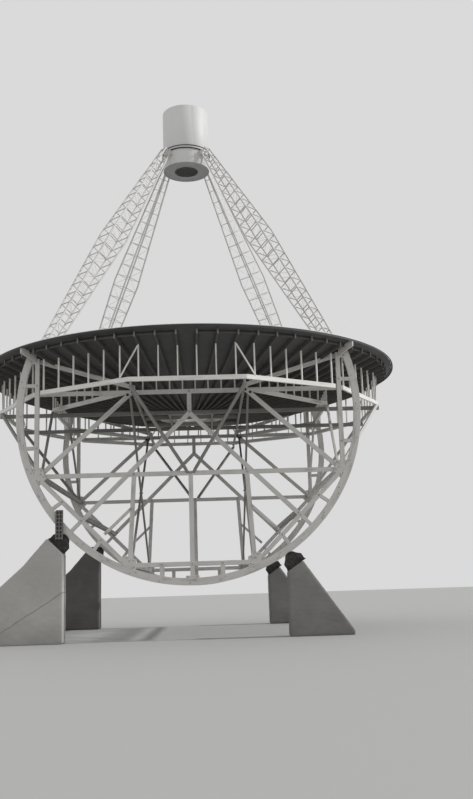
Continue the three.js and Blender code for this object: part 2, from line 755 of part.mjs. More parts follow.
function makeDrumShell() {
  const bottom = DRUM_BOTTOM_Z + 6 + GAP;
  const top = DRUM_BOTTOM_Z + DRUM_TALL;
  const outline = [
    [DRUM_RADIUS - DRUM_WALL, bottom],
    [DRUM_RADIUS, bottom],
    [DRUM_RADIUS, top],
    [0, top + 12],
    [0, top + 12 - DRUM_WALL],
    [DRUM_RADIUS - DRUM_WALL, top - DRUM_WALL],
  ];
  return turnedUp(outline, DRUM_SIDES);
}

function makeDrumBottom() {
  const outline = [
    [DRUM_HOLE, DRUM_BOTTOM_Z],
    [DRUM_RADIUS, DRUM_BOTTOM_Z],
    [DRUM_RADIUS, DRUM_BOTTOM_Z + 6],
    [DRUM_HOLE, DRUM_BOTTOM_Z + 6],
  ];
  return turnedUp(outline, DRUM_SIDES);
}

function makeDrumHoop() {
  const outline = [
    [DRUM_RADIUS + 1, HOOP_Z - 45],
    [DRUM_RADIUS + 30, HOOP_Z - 45],
    [DRUM_RADIUS + 30, HOOP_Z + 45],
    [DRUM_RADIUS + 1, HOOP_Z + 45],
  ];
  return turnedUp(outline, DRUM_SIDES);
}

function makeDrumCap() {
  const low = DRUM_BOTTOM_Z + DRUM_TALL + 12 + GAP;
  return solidOf(new THREE.CylinderGeometry(45, 60, 60, 16).rotateX(Math.PI / 2).translate(0, 0, low + 30));
}

// ASSEMBLY

const nearLeftPier = makePier(LEFT_ROLLER_DEG, true, SEAT_HALF, LEFT_SHOULDER);
const nearRightPier = makePier(RIGHT_ROLLER_DEG, false, RIGHT_SEAT_OUTER_HALF);
addNode("pier_near_left", nearLeftPier, CONCRETE);
addNode("pier_near_right", nearRightPier, CONCRETE);
addNode("pier_far_left", flipY(nearLeftPier), CONCRETE);
addNode("pier_far_right", flipY(nearRightPier), CONCRETE);

const leftTruck = flipX(makeTruck(LEFT_ROLLER_DEG));
const rightTruck = makeTruck(RIGHT_ROLLER_DEG);
addNode("truck_near_left", fuse([leftTruck, makeJackPost()]), IRON);
addNode("truck_near_right", rightTruck, IRON);
addNode("truck_far_left", flipY(leftTruck), IRON);
addNode("truck_far_right", flipY(rightTruck), IRON);

const leftRoller = flipX(makeRoller(LEFT_ROLLER_DEG));
const rightRoller = makeRoller(RIGHT_ROLLER_DEG);
addNode("roller_near_left", leftRoller, IRON);
addNode("roller_near_right", rightRoller, IRON);
addNode("roller_far_left", flipY(leftRoller), IRON);
addNode("roller_far_right", flipY(rightRoller), IRON);

const wheelRim = makeWheelRim();
const wheelTruss = makeWheelTruss();
addNode("wheel_rim_near", wheelRim, PAINT);
addNode("wheel_rim_far", flipY(wheelRim), PAINT);
addNode("wheel_truss_near", wheelTruss, PAINT);
addNode("wheel_truss_far", flipY(wheelTruss), PAINT);

addNode("floor_beams", makeFloorBeams(), PAINT);
const ringSide = makeInnerRingSide();
addNode("inner_ring_right", ringSide, PAINT);
addNode("inner_ring_left", flipX(ringSide), PAINT);
const sideQuarter = makeOuterRingQuarter(3008);
const endQuarter = makeOuterRingQuarter(3030).rotate([0, 0, 90]);
addNode("outer_ring_right", sideQuarter, PAINT);
addNode("outer_ring_left", flipX(sideQuarter), PAINT);
addNode("outer_ring_far", endQuarter, PAINT);
addNode("outer_ring_near", flipY(endQuarter), PAINT);

const sideBrace = makeSideBrace();
const swayBrace = makeSwayBrace();
addNode("side_brace_right", sideBrace, PAINT);
addNode("side_brace_left", flipX(sideBrace), PAINT);
addNode("sway_brace_right", swayBrace, PAINT);
addNode("sway_brace_left", flipX(swayBrace), PAINT);
addNode("foot_tie_right", makeFootTie(), PAINT);
addNode("foot_tie_left", flipX(makeFootTie()), PAINT);

addNode("hub_ring", makeHub(), PAINT);
const QUARTERS = [
  ["far_right", 1, 1],
  ["far_left", -1, 1],
  ["near_left", -1, -1],
  ["near_right", 1, -1],
];
const IN_QUARTER = RAFTER_COUNT / 4;
QUARTERS.forEach(([name, sideX, sideY], i) => {
  addNode("rafters_" + name, makeRafterBay(i * IN_QUARTER, IN_QUARTER, sideX, sideY), BARE_TIMBER);
  addNode("skin_" + name, makeSkinSector(i * IN_QUARTER, IN_QUARTER), GALVANISED);
});
addNode("rim_band", makeRimBand(), GALVANISED);

const leg = makeLeg();
addNode("leg_far_right", leg, PAINT);
addNode("leg_far_left", flipX(leg), PAINT);
addNode("leg_near_right", flipY(leg), PAINT);
addNode("leg_near_left", flipX(flipY(leg)), PAINT);

addNode("drum_shell", makeDrumShell(), SHEET);
addNode("drum_bottom", makeDrumBottom(), SHEET);
addNode("drum_hoop", makeDrumHoop(), SHEET);
addNode("drum_cap", makeDrumCap(), IRON);

export default group;
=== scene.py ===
# A timber radio dish that tilts on two open wheels above concrete piers. Metres, +Z up, tilt axis along Y.
from functools import cache, cached_property
from math import atan2, copysign, cos, degrees, hypot, pi, radians, sin, sqrt, tan

import bpy
import numpy as np
from bpy import ops
from mathutils import Matrix, Vector


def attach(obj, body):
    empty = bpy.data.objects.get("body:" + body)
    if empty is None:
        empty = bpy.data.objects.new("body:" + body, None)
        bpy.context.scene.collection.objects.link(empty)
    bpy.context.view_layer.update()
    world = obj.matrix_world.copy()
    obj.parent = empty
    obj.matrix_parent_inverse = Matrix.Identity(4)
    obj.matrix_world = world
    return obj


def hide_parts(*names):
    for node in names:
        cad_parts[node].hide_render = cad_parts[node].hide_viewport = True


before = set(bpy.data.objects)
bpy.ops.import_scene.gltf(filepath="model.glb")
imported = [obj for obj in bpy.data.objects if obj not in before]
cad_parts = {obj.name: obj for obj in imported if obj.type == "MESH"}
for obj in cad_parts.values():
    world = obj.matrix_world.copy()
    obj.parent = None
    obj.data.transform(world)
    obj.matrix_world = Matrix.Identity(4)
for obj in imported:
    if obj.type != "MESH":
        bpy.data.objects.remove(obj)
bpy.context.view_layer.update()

chance = np.random.default_rng(72)

# Reflector
VERTEX_Z = 4.95
FOCAL_LENGTH = 6.096
SHEET_INNER = 0.35
SHEET_OUTER = 4.744
SHEET_THICK = 0.001
SHEET_LAP = 0.012
SHEET_ROWS = (("inner", 0.35, 1.75, 40), ("middle", 1.75, 3.25, 30), ("outer", 3.25, SHEET_OUTER, 15))
RAFTER_STEP = 360 / 72
RAFTER_WIDE = 0.038
RAFTER_INNER = 0.745
RAFTER_OUTER = 4.62
RAFTER_BREAKS = [RAFTER_INNER, 1.45, 2.5, 3.6, RAFTER_OUTER]
RAFTER_DEPTHS = [0.068, 0.086, 0.088, 0.092, 0.1]
UNDER_SHEET = 0.0016
INNER_PURLIN = 0.821
OUTER_PURLIN = 4.561
PURLIN_WIDE = 0.042
OUTRIGGER_INNER = 4.404
OUTRIGGER_DEEP = 0.15
HUB_INNER = 0.34
EDGE_RADIUS = 4.785
RIM_RADIUS = 4.777
RIM_BAND_TALL = 0.055
RIM_FOLD = 0.003
BEAD_RADIUS = 0.007

# Frame under the dish
RING_Z = VERTEX_Z
BOARD = 0.045
DEPTH = 0.09
STUD = 0.032
POST_WIDE = 0.025
OUTER_RING = 4.243
INNER_RING = 3.06
FLOOR_BEAM_AT = 1.1
SHORT_BEAM_AT = 0.48
TOUCH = 0.0003
FLOOR_BEAM_Z = RING_Z - DEPTH - TOUCH
RING_UNDER = RING_Z - DEPTH / 2
BRACE_TOP = RING_UNDER - TOUCH

# Wheels
AXIS_Z = 4.54
WHEEL_RADIUS = 3.5095
RIM_DEEP = 0.1425
RIM_THICK = 0.08
TIE_END_RADIUS = WHEEL_RADIUS - 0.06
WHEEL_Y = 3.06
WHEEL_END_DEG = 20
CORNER_DEG = 22.5
CHORD_AT = 3.09
CORNER_RADIUS = CHORD_AT / cos(radians(CORNER_DEG))
CHORD_TOP_Z = VERTEX_Z + 0.735
MID_BEAM_Z = AXIS_Z - CHORD_AT * tan(radians(CORNER_DEG))
BOTTOM_CHORD_Z = AXIS_Z - CHORD_AT
FOOT_X = CHORD_AT * sqrt(0.5)
FOOT_Z = AXIS_Z - FOOT_X
TRUSS_Y = WHEEL_Y - RIM_THICK / 2 - BOARD / 2 - TOUCH
TRUSS_INSIDE = TRUSS_Y - BOARD / 2 - TOUCH
SLOPE_INNER = (1.115, VERTEX_Z + 0.095)
SLOPE_OUTER = (3.29, VERTEX_Z + 0.756)
TIE_HEIGHTS = (VERTEX_Z + 0.17, VERTEX_Z - 1.12)

# Piers and rollers
SEAT_RADIUS = 3.785
SEAT_HALF = 0.225
NARROW_SEAT_HALF = 0.14
LEFT_ROLLER_DEG = 45
RIGHT_ROLLER_DEG = 33
PIER_THICK = 0.45
PIER_TOE_X = 4.6
PIER_BLUNT = 0.06
CAST_VOXEL = 0.026
LEFT_SHOULDER = (3.285, 1.507)
ROLLER_RADIUS = 0.11
ROLLER_CENTRE = 3.6203
CHEEK_AT = 0.07
CHEEK_THICK = 0.012
AXLE_RADIUS = 0.018
JACK_X = -2.612
JACK_WIDE = 0.15
JACK_THICK = 0.046
JACK_LOW_Z = 1.99
JACK_TOP_Z = 2.56
TOOTH_PITCH = 0.077

# Drum and legs
DRUM_RADIUS = 0.57
DRUM_BOTTOM_Z = VERTEX_Z + 6.245
DRUM_TOP_Z = DRUM_BOTTOM_Z + 1.54
DRUM_WALL = 0.003
DRUM_HOLE = 0.29
DRUM_CONE = 0.012
DISC_TALL = 0.006
DRUM_SEAMS = (-71.25, 48.75, 168.75)
HOOP_Z = VERTEX_Z + 6.66
LEG_TOP = Vector((0.478, 0.478, VERTEX_Z + 6.6))
LEG_FOOT = Vector((3.05, 2.99, VERTEX_Z + 0.76))
LEG_BEND = 0.46
LEG_HALVES = (0.075, 0.22, 0.11)
LEG_RUNGS = 23
LEG_RAIL = 0.031
LEG_ROD = 0.006
RUNG = (0.016, 0.02)

X, Y, Z = Vector((1, 0, 0)), Vector((0, 1, 0)), Vector((0, 0, 1))
MIRRORS = {"far_left": (-1, 1, 1), "near_left": (-1, -1, 1), "near_right": (1, -1, 1)}


def dish_z(radius):
    return VERTEX_Z + radius**2 / (4 * FOCAL_LENGTH)


def dish_slope(radius):
    return radius / (2 * FOCAL_LENGTH)


def rafter_bottom(radius):
    heights = [dish_z(r) - deep for r, deep in zip(RAFTER_BREAKS, RAFTER_DEPTHS)]
    return float(np.interp(radius, RAFTER_BREAKS, heights))


def outward(bearing):
    return Vector((cos(radians(bearing)), sin(radians(bearing)), 0))


def around(radius, bearing, height):
    return outward(bearing) * radius + Z * height


# MODELLING


def deselect():
    ops.object.select_all(action="DESELECT")


def pick(*pieces):
    """Selects some pieces alone, the first of them active."""
    deselect()
    for piece in pieces:
        piece.select_set(True)
    bpy.context.view_layer.objects.active = pieces[0]


def select_all():
    ops.mesh.select_all(action="SELECT")


def edit(piece):
    pick(piece)
    ops.object.mode_set(mode="EDIT")
    select_all()


def leave_edit():
    ops.object.mode_set(mode="OBJECT")
    return bpy.context.object


def join(parts):
    pick(*parts)
    ops.object.join()
    return bpy.context.object


def apply(piece, kind, **settings):
    """Gives a piece one modifier and applies it."""
    pick(piece)
    modifier = piece.modifiers.new(kind, kind)
    for name, setting in settings.items():
        setattr(modifier, name, setting)
    ops.object.modifier_apply(modifier=modifier.name)
    return piece


def cut(piece, cutter):
    """Takes a cutter's room out of a piece."""
    apply(piece, "BOOLEAN", operation="DIFFERENCE", object=cutter)
    bpy.data.objects.remove(cutter)
    return piece


def take_mesh(piece):
    """The mesh of a modelled piece, kept as a pattern for copies."""
    mesh = piece.data
    bpy.data.objects.remove(piece)
    return mesh


def put(pattern, matrix=Matrix()):
    """A copy of a pattern in its place, as a piece at the origin."""
    mesh = pattern.copy()
    mesh.transform(matrix)
    if matrix.determinant() < 0:
        mesh.flip_normals()
    piece = bpy.data.objects.new("part", mesh)
    bpy.context.collection.objects.link(piece)
    return piece


def turned(bearing, axis="Z"):
    return Matrix.Rotation(radians(bearing), 4, axis)


def put_round(pattern, bearing):
    return put(pattern, turned(bearing))


def mirrored(parts, signs):
    return [put(part.data, Matrix.Diagonal((*signs, 1))) for part in parts]


def corners(*groups):
    """Each corner's name and its images of the far right corner's groups of parts, that corner last."""
    for name, signs in MIRRORS.items():
        yield name, *[mirrored(parts, signs) for parts in groups]
    yield "far_right", *groups


def all_corners(parts):
    return [part for _, images in corners(parts) for part in images]


def lay(place, along, across):
    """The matrix that lays a pattern's X along one direction and its Y nearly along another."""
    along = along.normalized()
    across = (across - along * across.dot(along)).normalized()
    axes = Matrix((along, across, along.cross(across)))
    return Matrix.Translation(place) @ axes.transposed().to_4x4()


def stood(place, facing):
    """The matrix that stands a pattern's Z along a direction."""
    return Matrix.Translation(place) @ Vector(facing).to_track_quat("Z", "Y").to_matrix().to_4x4()


def rows_of(items, field):
    rows = np.empty(len(items) * 3)
    items.foreach_get(field, rows)
    return rows.reshape(-1, 3)


def points_of(mesh):
    return rows_of(mesh.vertices, "co")


def move_points(mesh, places):
    mesh.vertices.foreach_set("co", places.ravel())
    mesh.update()


def write_grain(mesh, places=None):
    """Keeps where each point lies in its board, shifted so that no two boards share a figure."""
    places = points_of(mesh) if places is None else places
    if "grain" not in mesh.attributes:
        mesh.attributes.new("grain", "FLOAT_VECTOR", "POINT")
    shifted = places + chance.uniform(0, (50, 5, 5))
    mesh.attributes["grain"].data.foreach_set("vector", shifted.ravel())


def put_board(pattern, matrix, places):
    """A copy of a pattern in its place, with a grain of its own."""
    piece = put(pattern, matrix)
    write_grain(piece.data, places)
    return piece


@cache
def stick(wide, deep, ease):
    """A planed stick a metre long with eased edges, lying along X."""
    deselect()
    ops.mesh.primitive_cube_add(size=1)
    edit(bpy.context.object)
    ops.transform.resize(value=(1, wide, deep))
    ops.mesh.bevel(offset=ease, segments=1, affect="EDGES")
    return take_mesh(leave_edit())


def board(start, end, wide, deep, side, faces=(None, None), ease=0.003):
    """A board between two places, wide along one side, each end square or cut to lie in a plane."""
    start, end = Vector(start), Vector(end)
    place = lay((start + end) / 2, end - start, Vector(side))
    mesh = stick(wide, deep, ease).copy()
    places = points_of(mesh)
    half = (end - start).length / 2
    for sign, face in zip((-1, 1), faces):
        normal = place.to_3x3().transposed() @ Vector(face or end - start)
        ends = places[:, 0] * sign > 0
        lean = places[ends, 1] * normal.y + places[ends, 2] * normal.z
        places[ends, 0] += sign * (half - 0.5) - lean / normal.x
    move_points(mesh, places)
    return put_board(mesh, place, places)


def plate(outline, middle_y, thick, ease=0.003):
    """A flat outline in X and Z, pulled out to a thickness along Y and eased."""
    mesh = bpy.data.meshes.new("plate")
    low = middle_y - thick / 2
    mesh.from_pydata([(x, low, z) for x, z in outline], [], [list(range(len(outline)))])
    edit(put(mesh))
    ops.mesh.extrude_region_move(TRANSFORM_OT_translate={"value": (0, thick, 0)})
    select_all()
    ops.mesh.normals_make_consistent(inside=False)
    ops.mesh.bevel(offset=ease, segments=1, affect="EDGES")
    piece = leave_edit()
    write_grain(piece.data)
    return piece


def turn(outline, sides, sweep=360, smooth=35, place=Matrix()):
    """A closed outline of (radius, height) points, spun about the upright axis into a closed skin."""
    mesh = bpy.data.meshes.new("turned")
    count = len(outline)
    edges = [(i, (i + 1) % count) for i in range(count)]
    mesh.from_pydata([(radius, 0, height) for radius, height in outline], edges, [])
    edit(put(mesh))
    ops.mesh.spin(steps=sides, angle=-radians(sweep), center=(0, 0, 0), axis=(0, 0, 1))
    select_all()
    ops.mesh.remove_doubles(threshold=1e-5)
    ops.mesh.delete_loose(use_verts=True, use_edges=True, use_faces=False)
    select_all()
    if sweep < 360:
        ops.mesh.fill_holes(sides=0)
        select_all()
    ops.mesh.normals_make_consistent(inside=False)
    piece = leave_edit()
    ops.object.shade_smooth_by_angle(angle=radians(smooth))
    piece.data.transform(place)
    return piece


def raised(outline, height, sign=1):
    return [(radius, height + sign * z) for radius, z in outline]


def oblong(inner, outer, low, high):
    return [(inner, low), (outer, low), (outer, high), (inner, high)]


def rounded(low, high, ease):
    """The eight corners of a rectangle with its own corners cut off."""
    (a, b), (c, d) = low, high
    return [
        (a + ease, b), (c - ease, b), (c, b + ease), (c, d - ease),
        (c - ease, d), (a + ease, d), (a, d - ease), (a, b + ease),
    ]


def assemble(name, parts, finish, *nodes, body="tilting_dish"):
    """Joins parts into one finished piece that rides on a body and stands for some nodes."""
    piece = join(parts)
    piece.name = name
    piece.data.name = name
    piece.data.materials.clear()
    piece.data.materials.append(finish.material)
    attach(piece, body)
    if nodes:
        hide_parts(*nodes)
    return piece


def second_finish(piece, finish, wanted):
    """Gives another finish to the faces of a piece that are wanted."""
    piece.data.materials.append(finish.material)
    for polygon in piece.data.polygons:
        if wanted(polygon):
            polygon.material_index = len(piece.data.materials) - 1


# FASTENINGS


def model_bolt():
    """A nut on a washer with its bolt's end standing through, one unit across, on Z = 0."""
    washer = turn([(0, 0), (0.85, 0), (0.85, 0.1), (0.8, 0.15), (0, 0.15)], 12)
    thread = turn([(0, 0.5), (0.3, 0.5), (0.3, 0.8), (0.24, 0.86), (0, 0.86)], 8)
    deselect()
    ops.mesh.primitive_cylinder_add(vertices=6, radius=0.58, depth=0.5)
    edit(bpy.context.object)
    ops.mesh.bevel(offset=0.06, segments=1, affect="EDGES")
    nut = leave_edit()
    nut.data.transform(Matrix.Translation((0, 0, 0.4)))
    return take_mesh(join([nut, washer, thread]))


def model_nail():
    """The low round head of a roofing nail, one unit across."""
    return take_mesh(turn([(0, 0), (0.5, 0), (0.5, 0.08), (0.36, 0.24), (0, 0.32)], 8, smooth=60))


BOLT = model_bolt()
NAIL = model_nail()


def fasten(pattern, place, facing, across):
    """A fastening on a face, turned by chance about its own axis."""
    spin = Matrix.Rotation(chance.uniform(0, pi), 4, "Z")
    return put(pattern, stood(place, facing) @ spin @ Matrix.Scale(across, 4))


def bolt(place, facing, across=0.03):
    return fasten(BOLT, place, facing, across)


def through_bolts(places, half, across, y=-WHEEL_Y):
    """Bolts along Y through a wheel's timbers, with a nut and washer on each face."""
    return [bolt((x, y + side * half, z), Y * side, across) for x, z in places for side in (-1, 1)]


# FINISHES


def maths(operation, reflected=False):
    """An operator on values that adds its Math node."""

    def operate(self, other=0.0):
        first, second = (other, self) if reflected else (self, other)
        return self.finish.add("Math", {0: first, 1: second}, operation=operation)

    return operate


class Value:
    """One number or colour in a finish, so that its pattern reads as plain sums."""

    def __init__(self, finish, socket):
        self.finish = finish
        self.socket = socket

    __add__ = maths("ADD")
    __sub__ = maths("SUBTRACT")
    __rsub__ = maths("SUBTRACT", reflected=True)
    __mul__ = maths("MULTIPLY")
    size = maths("ABSOLUTE")

    def above(self, low, high):
        """0 below a low value, 1 over a high one, and even between them."""
        return self.finish.add("MapRange", {"Value": self, "From Min": low, "From Max": high})


class Finish:
    """A material for one kind of surface, its slot in the record, and the nodes that vary it."""

    def __init__(self, name, slot=None, **shader):
        self.slot = slot
        self.material = bpy.data.materials.new(name)
        self.material.use_nodes = True
        self.tree = self.material.node_tree
        self.shader = self.tree.nodes["Principled BSDF"]
        self.set(**shader)

    def add(self, kind, sockets, output=0, **settings):
        """Adds a node of a kind: its settings first, then the values or links of its sockets."""
        node = self.tree.nodes.new("ShaderNode" + kind)
        for name, setting in settings.items():
            setattr(node, name, setting)
        for socket, value in sockets.items():
            self.feed(node.inputs[socket], value)
        return Value(self, node.outputs[output])

    def feed(self, socket, value):
        if isinstance(value, Value):
            self.tree.links.new(value.socket, socket)
        else:
            socket.default_value = value

    def set(self, **shader):
        for socket, value in shader.items():
            self.feed(self.shader.inputs[socket.replace("_", " ")], value)

    @cached_property
    def grain(self):
        return self.add("Attribute", {}, "Vector", attribute_name="grain")

    @cached_property
    def place(self):
        return self.add("TexCoord", {}, "Object")

    def parts(self, vector):
        node = self.add("SeparateXYZ", {"Vector": vector}).socket.node
        return [Value(self, socket) for socket in node.outputs]

    def stretched(self, vector, scale):
        scale = scale if isinstance(scale, tuple) else (scale,) * 3
        return self.add("VectorMath", {0: vector, 1: scale}, operation="MULTIPLY")

    def noise(self, scale, detail=3.0, rough=0.5, at=None):
        vector = self.stretched(at or self.place, scale)
        return self.add("TexNoise", {"Vector": vector, "Scale": 1.0, "Detail": detail, "Roughness": rough})

    def cells(self, scale, output="Color"):
        return self.add("TexVoronoi", {"Vector": self.stretched(self.place, scale), "Scale": 1.0}, output)

    def blend(self, share, low, high):
        """A colour that goes from one to another as the share goes from 0 to 1."""
        low, high = [c if isinstance(c, Value) else (*c, 1.0) for c in (low, high)]
        return self.add("Mix", {0: share, 6: low, 7: high}, 2, data_type="RGBA")

    def done(self, colour, roughness, height, depth, strength=1.0):
        """Feeds the pattern to the shader, with its relief and how deep that is."""
        bump = self.add("Bump", {"Height": height, "Distance": depth, "Strength": strength})
        self.set(Base_Color=colour, Roughness=roughness, Normal=bump)
        return self


def painted_timber(name, fresh, dirty):
    """Thin pale paint over sawn boards, greyed in streaks where the weather has got at it."""
    paint = Finish(name, "painted_timber", Specular_IOR_Level=0.3)
    streaks = paint.noise((1.4, 70, 70), 5, 0.6, paint.grain)
    figure = paint.noise((3.5, 240, 240), 3, 0.55, paint.grain)
    patches = paint.noise((2.0, 7, 7), 4, 0.6, paint.grain)
    drips = paint.noise((3, 3, 1.2), 3, 0.6)
    bare = (streaks * 0.55 + patches * 0.6 + figure * 0.25).above(0.74, 0.92)
    dirt = (drips * 0.6 + patches * 0.5).above(0.5, 0.78)
    colour = paint.blend(dirt * 0.4, fresh, dirty)
    colour = paint.blend(bare * 0.75, colour, (0.27, 0.25, 0.22))
    return paint.done(colour, bare * 0.2 + 0.58, streaks * 0.5 + figure * 0.6 - bare * 0.7, 0.0009)


def bare_timber():
    """Unpainted timber under the dish, grey with age and darkened further as painted shade, its grain along
    each board.
    """
    timber = Finish("bare_timber", "bare_timber", Specular_IOR_Level=0.25)
    streaks = timber.noise((1.1, 60, 60), 5, 0.6, timber.grain)
    figure = timber.noise((3, 260, 260), 3, 0.5, timber.grain)
    patches = timber.noise((1.3, 4, 4), 4, 0.6, timber.grain)
    share = (streaks * 0.8 + figure * 0.4).above(0.35, 0.85)
    colour = timber.blend(share, (0.075, 0.072, 0.066), (0.145, 0.139, 0.128))
    colour = timber.blend(patches.above(0.45, 0.75) * 0.5, colour, (0.062, 0.059, 0.055))
    return timber.done(colour, figure * 0.15 + 0.72, streaks + figure * 0.6, 0.0012)


def zinc_sheet(name, dull, bright, dirt, metallic=0.3):
    """Zinc-coated sheet with its spangle, clouds of tarnish and runs of dirt, and each sheet's own tone."""
    sheet = Finish(name, "galvanised_sheet", Metallic=metallic)
    spangle = sheet.parts(sheet.cells(38))[0]
    fine = sheet.noise(160, 2)
    clouds = sheet.noise(1.6, 5, 0.62)
    runs = sheet.noise((5, 5, 2), 3)
    tone = sheet.noise(0.08, 0, at=sheet.grain)
    share = spangle * 0.3 + clouds * 0.6 + tone * 1.3 + fine * 0.1
    colour = sheet.blend(share.above(0.75, 1.55), dull, bright)
    colour = sheet.blend(runs.above(0.52, 0.8) * 0.5, colour, dirt)
    return sheet.done(colour, spangle * 0.14 + clouds * 0.2 + 0.38, clouds * 0.6 + fine * 0.05, 0.004, 0.5)


def drum_sheet(name, pale, dull, dirt):
    """Painted sheet of the drum, with faint runs of dirt down from its seams."""
    drum = Finish(name, "drum_sheet", Specular_IOR_Level=0.4)
    clouds = drum.noise((2.2, 2.2, 1.2), 4, 0.6)
    runs = drum.noise((16, 16, 0.9), 4, 0.65)
    colour = drum.blend(clouds.above(0.3, 0.8), pale, dull)
    colour = drum.blend(runs.above(0.55, 0.85) * 0.35, colour, dirt)
    return drum.done(colour, clouds * 0.2 + runs * 0.1 + 0.38, clouds + drum.noise(60, 2) * 0.05, 0.006, 0.35)


def old_iron(name, clean, rusted, metallic=0.3, slot="dark_iron"):
    """Cast and forged iron, with rust in its hollows."""
    iron = Finish(name, slot, Specular_IOR_Level=0.45)
    rust = iron.noise(14, 5, 0.65)
    pits = iron.noise(190, 3, 0.6)
    share = (rust + pits * 0.25).above(0.52, 0.82)
    iron.set(Metallic=metallic - share * 0.3)
    return iron.done(iron.blend(share, clean, rusted), rust * 0.3 + 0.45, pits * 0.7 + rust * 0.5, 0.0012)


def concrete(name, pale, dark, joint=None):
    """Board-marked concrete with pores, damp at its foot, and at most one faint slanting joint."""
    mix = Finish(name, "concrete", Specular_IOR_Level=0.25)
    x, _, z = mix.parts(mix.place)
    clouds = mix.noise(1.7, 6, 0.65)
    sand = mix.noise(220, 3, 0.7)
    marks = mix.noise((1.6, 1.6, 26), 3, 0.5)
    seam = mix.add("Math", {0: z, 1: 0.21}, operation="PINGPONG").above(0.0, 0.004)
    damp = 1 - (z + clouds * 0.5).above(0.25, 0.75)
    holes = 1 - mix.cells(42, "Distance").above(0.1, 0.2)
    shade = (clouds * 0.95 + marks * 0.2 + sand * 0.12).above(0.35, 0.95)

    def darkened(colour, share, part):
        return mix.blend(share, colour, tuple(part * c for c in dark))

    colour = darkened(mix.blend(shade, dark, pale), damp * 0.35, 0.5)
    colour = darkened(colour, holes * 0.5, 0.6)
    relief = marks * 0.3 + sand * 0.25 + seam * 0.5 - holes * 1.2
    if joint:
        slope, height = joint
        line = 1 - (z - x * slope + clouds * 0.05 - (height + 0.025)).size().above(0.002, 0.012)
        colour = darkened(colour, line * 0.6, 0.4)
        relief = relief - line * 2.0
    return mix.done(colour, sand * 0.1 + 0.82, relief, 0.0025)


PAINT = painted_timber("painted_timber", (0.59, 0.58, 0.56), (0.41, 0.4, 0.38))
# A brighter copy of the paint for the rings: painted light, brighter than the light that reaches them under
# the dish.
LIGHT_BRIGHTENED_PAINT = painted_timber("fresh_paint", (0.8, 0.79, 0.76), (0.58, 0.57, 0.54))
# A darker copy of the paint: painted shade for the inner timbers and the left side brace deep under the dish;
# it is also the paint on the rafters' outer ends.
SHADE_DARKENED_PAINT = painted_timber("aged_paint", (0.27, 0.265, 0.25), (0.18, 0.175, 0.165))
# Rafter timber, its dark tone partly painted shade under the dish.
TIMBER = bare_timber()
BOWL = zinc_sheet("bowl_sheet", (0.3, 0.31, 0.31), (0.5, 0.51, 0.51), (0.2, 0.19, 0.18))
# A dark copy of the bowl's zinc for its down-facing faces: painted shade under the dish.
PAINTED_SHADE_UNDERSIDE = zinc_sheet("sheltered_sheet", (0.046, 0.046, 0.047), (0.095, 0.095, 0.096), (0.033,) * 3, 0.1)
# A near-black copy of the zinc for the rim band: painted shade along the dish's edge.
PAINTED_SHADE_BAND = zinc_sheet("band_sheet", (0.022, 0.022, 0.023), (0.045, 0.045, 0.046), (0.016,) * 3, 0.1)
# Pale zinc for the nail heads, also used as a painted highlight on the rim's bead and on the band's up-facing
# faces.
PALE_ZINC_AND_HIGHLIGHT = zinc_sheet("edge_sheet", (0.56, 0.56, 0.55), (0.78, 0.78, 0.77), (0.42, 0.41, 0.4), 0.15)
DRUM = drum_sheet("drum_sheet", (0.61, 0.61, 0.6), (0.57, 0.57, 0.56), (0.48, 0.47, 0.45))
# A paler copy of the drum's paint for the two sheets away from the sun: painted light that evens out the
# sun's shading round the drum.
DRUM_PAINTED_LIGHT = drum_sheet("dull_drum_sheet", (0.67, 0.67, 0.66), (0.64, 0.64, 0.63), (0.54, 0.53, 0.51))
# A darker copy of the drum's paint for its bottom disc: painted shade under the drum.
DRUM_UNDERSIDE_PAINTED_SHADE = drum_sheet("drum_underside", (0.35, 0.35, 0.35), (0.28, 0.28, 0.28), (0.21, 0.21, 0.21))
IRON = old_iron("dark_iron", (0.026, 0.026, 0.027), (0.07, 0.06, 0.053), 0.35)
WORN_IRON = old_iron("worn_iron", (0.2, 0.2, 0.2), (0.13, 0.11, 0.095))
PAINTED_IRON = old_iron("painted_iron", (0.48, 0.47, 0.45), (0.34, 0.32, 0.3), slot="painted_timber")
PALE_CONCRETE = concrete("pale_concrete", (0.48, 0.475, 0.46), (0.37, 0.365, 0.35), (0.62, 2.53))
# Darker copies of the concrete: painted shade for the right piers, and deeper painted shade for the far left
# pier.
CONCRETE = concrete("concrete", (0.27, 0.265, 0.255), (0.19, 0.185, 0.175))
SHADE_DARKENED_CONCRETE = concrete("damp_concrete", (0.17, 0.165, 0.16), (0.11, 0.105, 0.1))

# STUDIO


def place_camera():
    """The photograph's own view, from low down in front of the near wheel."""
    camera_at = (0.318, -21.629, 1.023)
    heading_deg, pitch_deg, roll_deg = 2.015, 11.308, 1.788
    focal_pixels = 924.04
    image_tall = 799
    lens = bpy.data.cameras.new("camera")
    lens.sensor_width = 36
    lens.lens = focal_pixels / image_tall * lens.sensor_width
    lens.clip_end = 400
    camera = bpy.data.objects.new("camera", lens)
    bpy.context.collection.objects.link(camera)
    aim = turned(-heading_deg) @ turned(90 + pitch_deg, "X") @ turned(-roll_deg)
    camera.matrix_world = Matrix.Translation(camera_at) @ aim
    bpy.context.scene.camera = camera


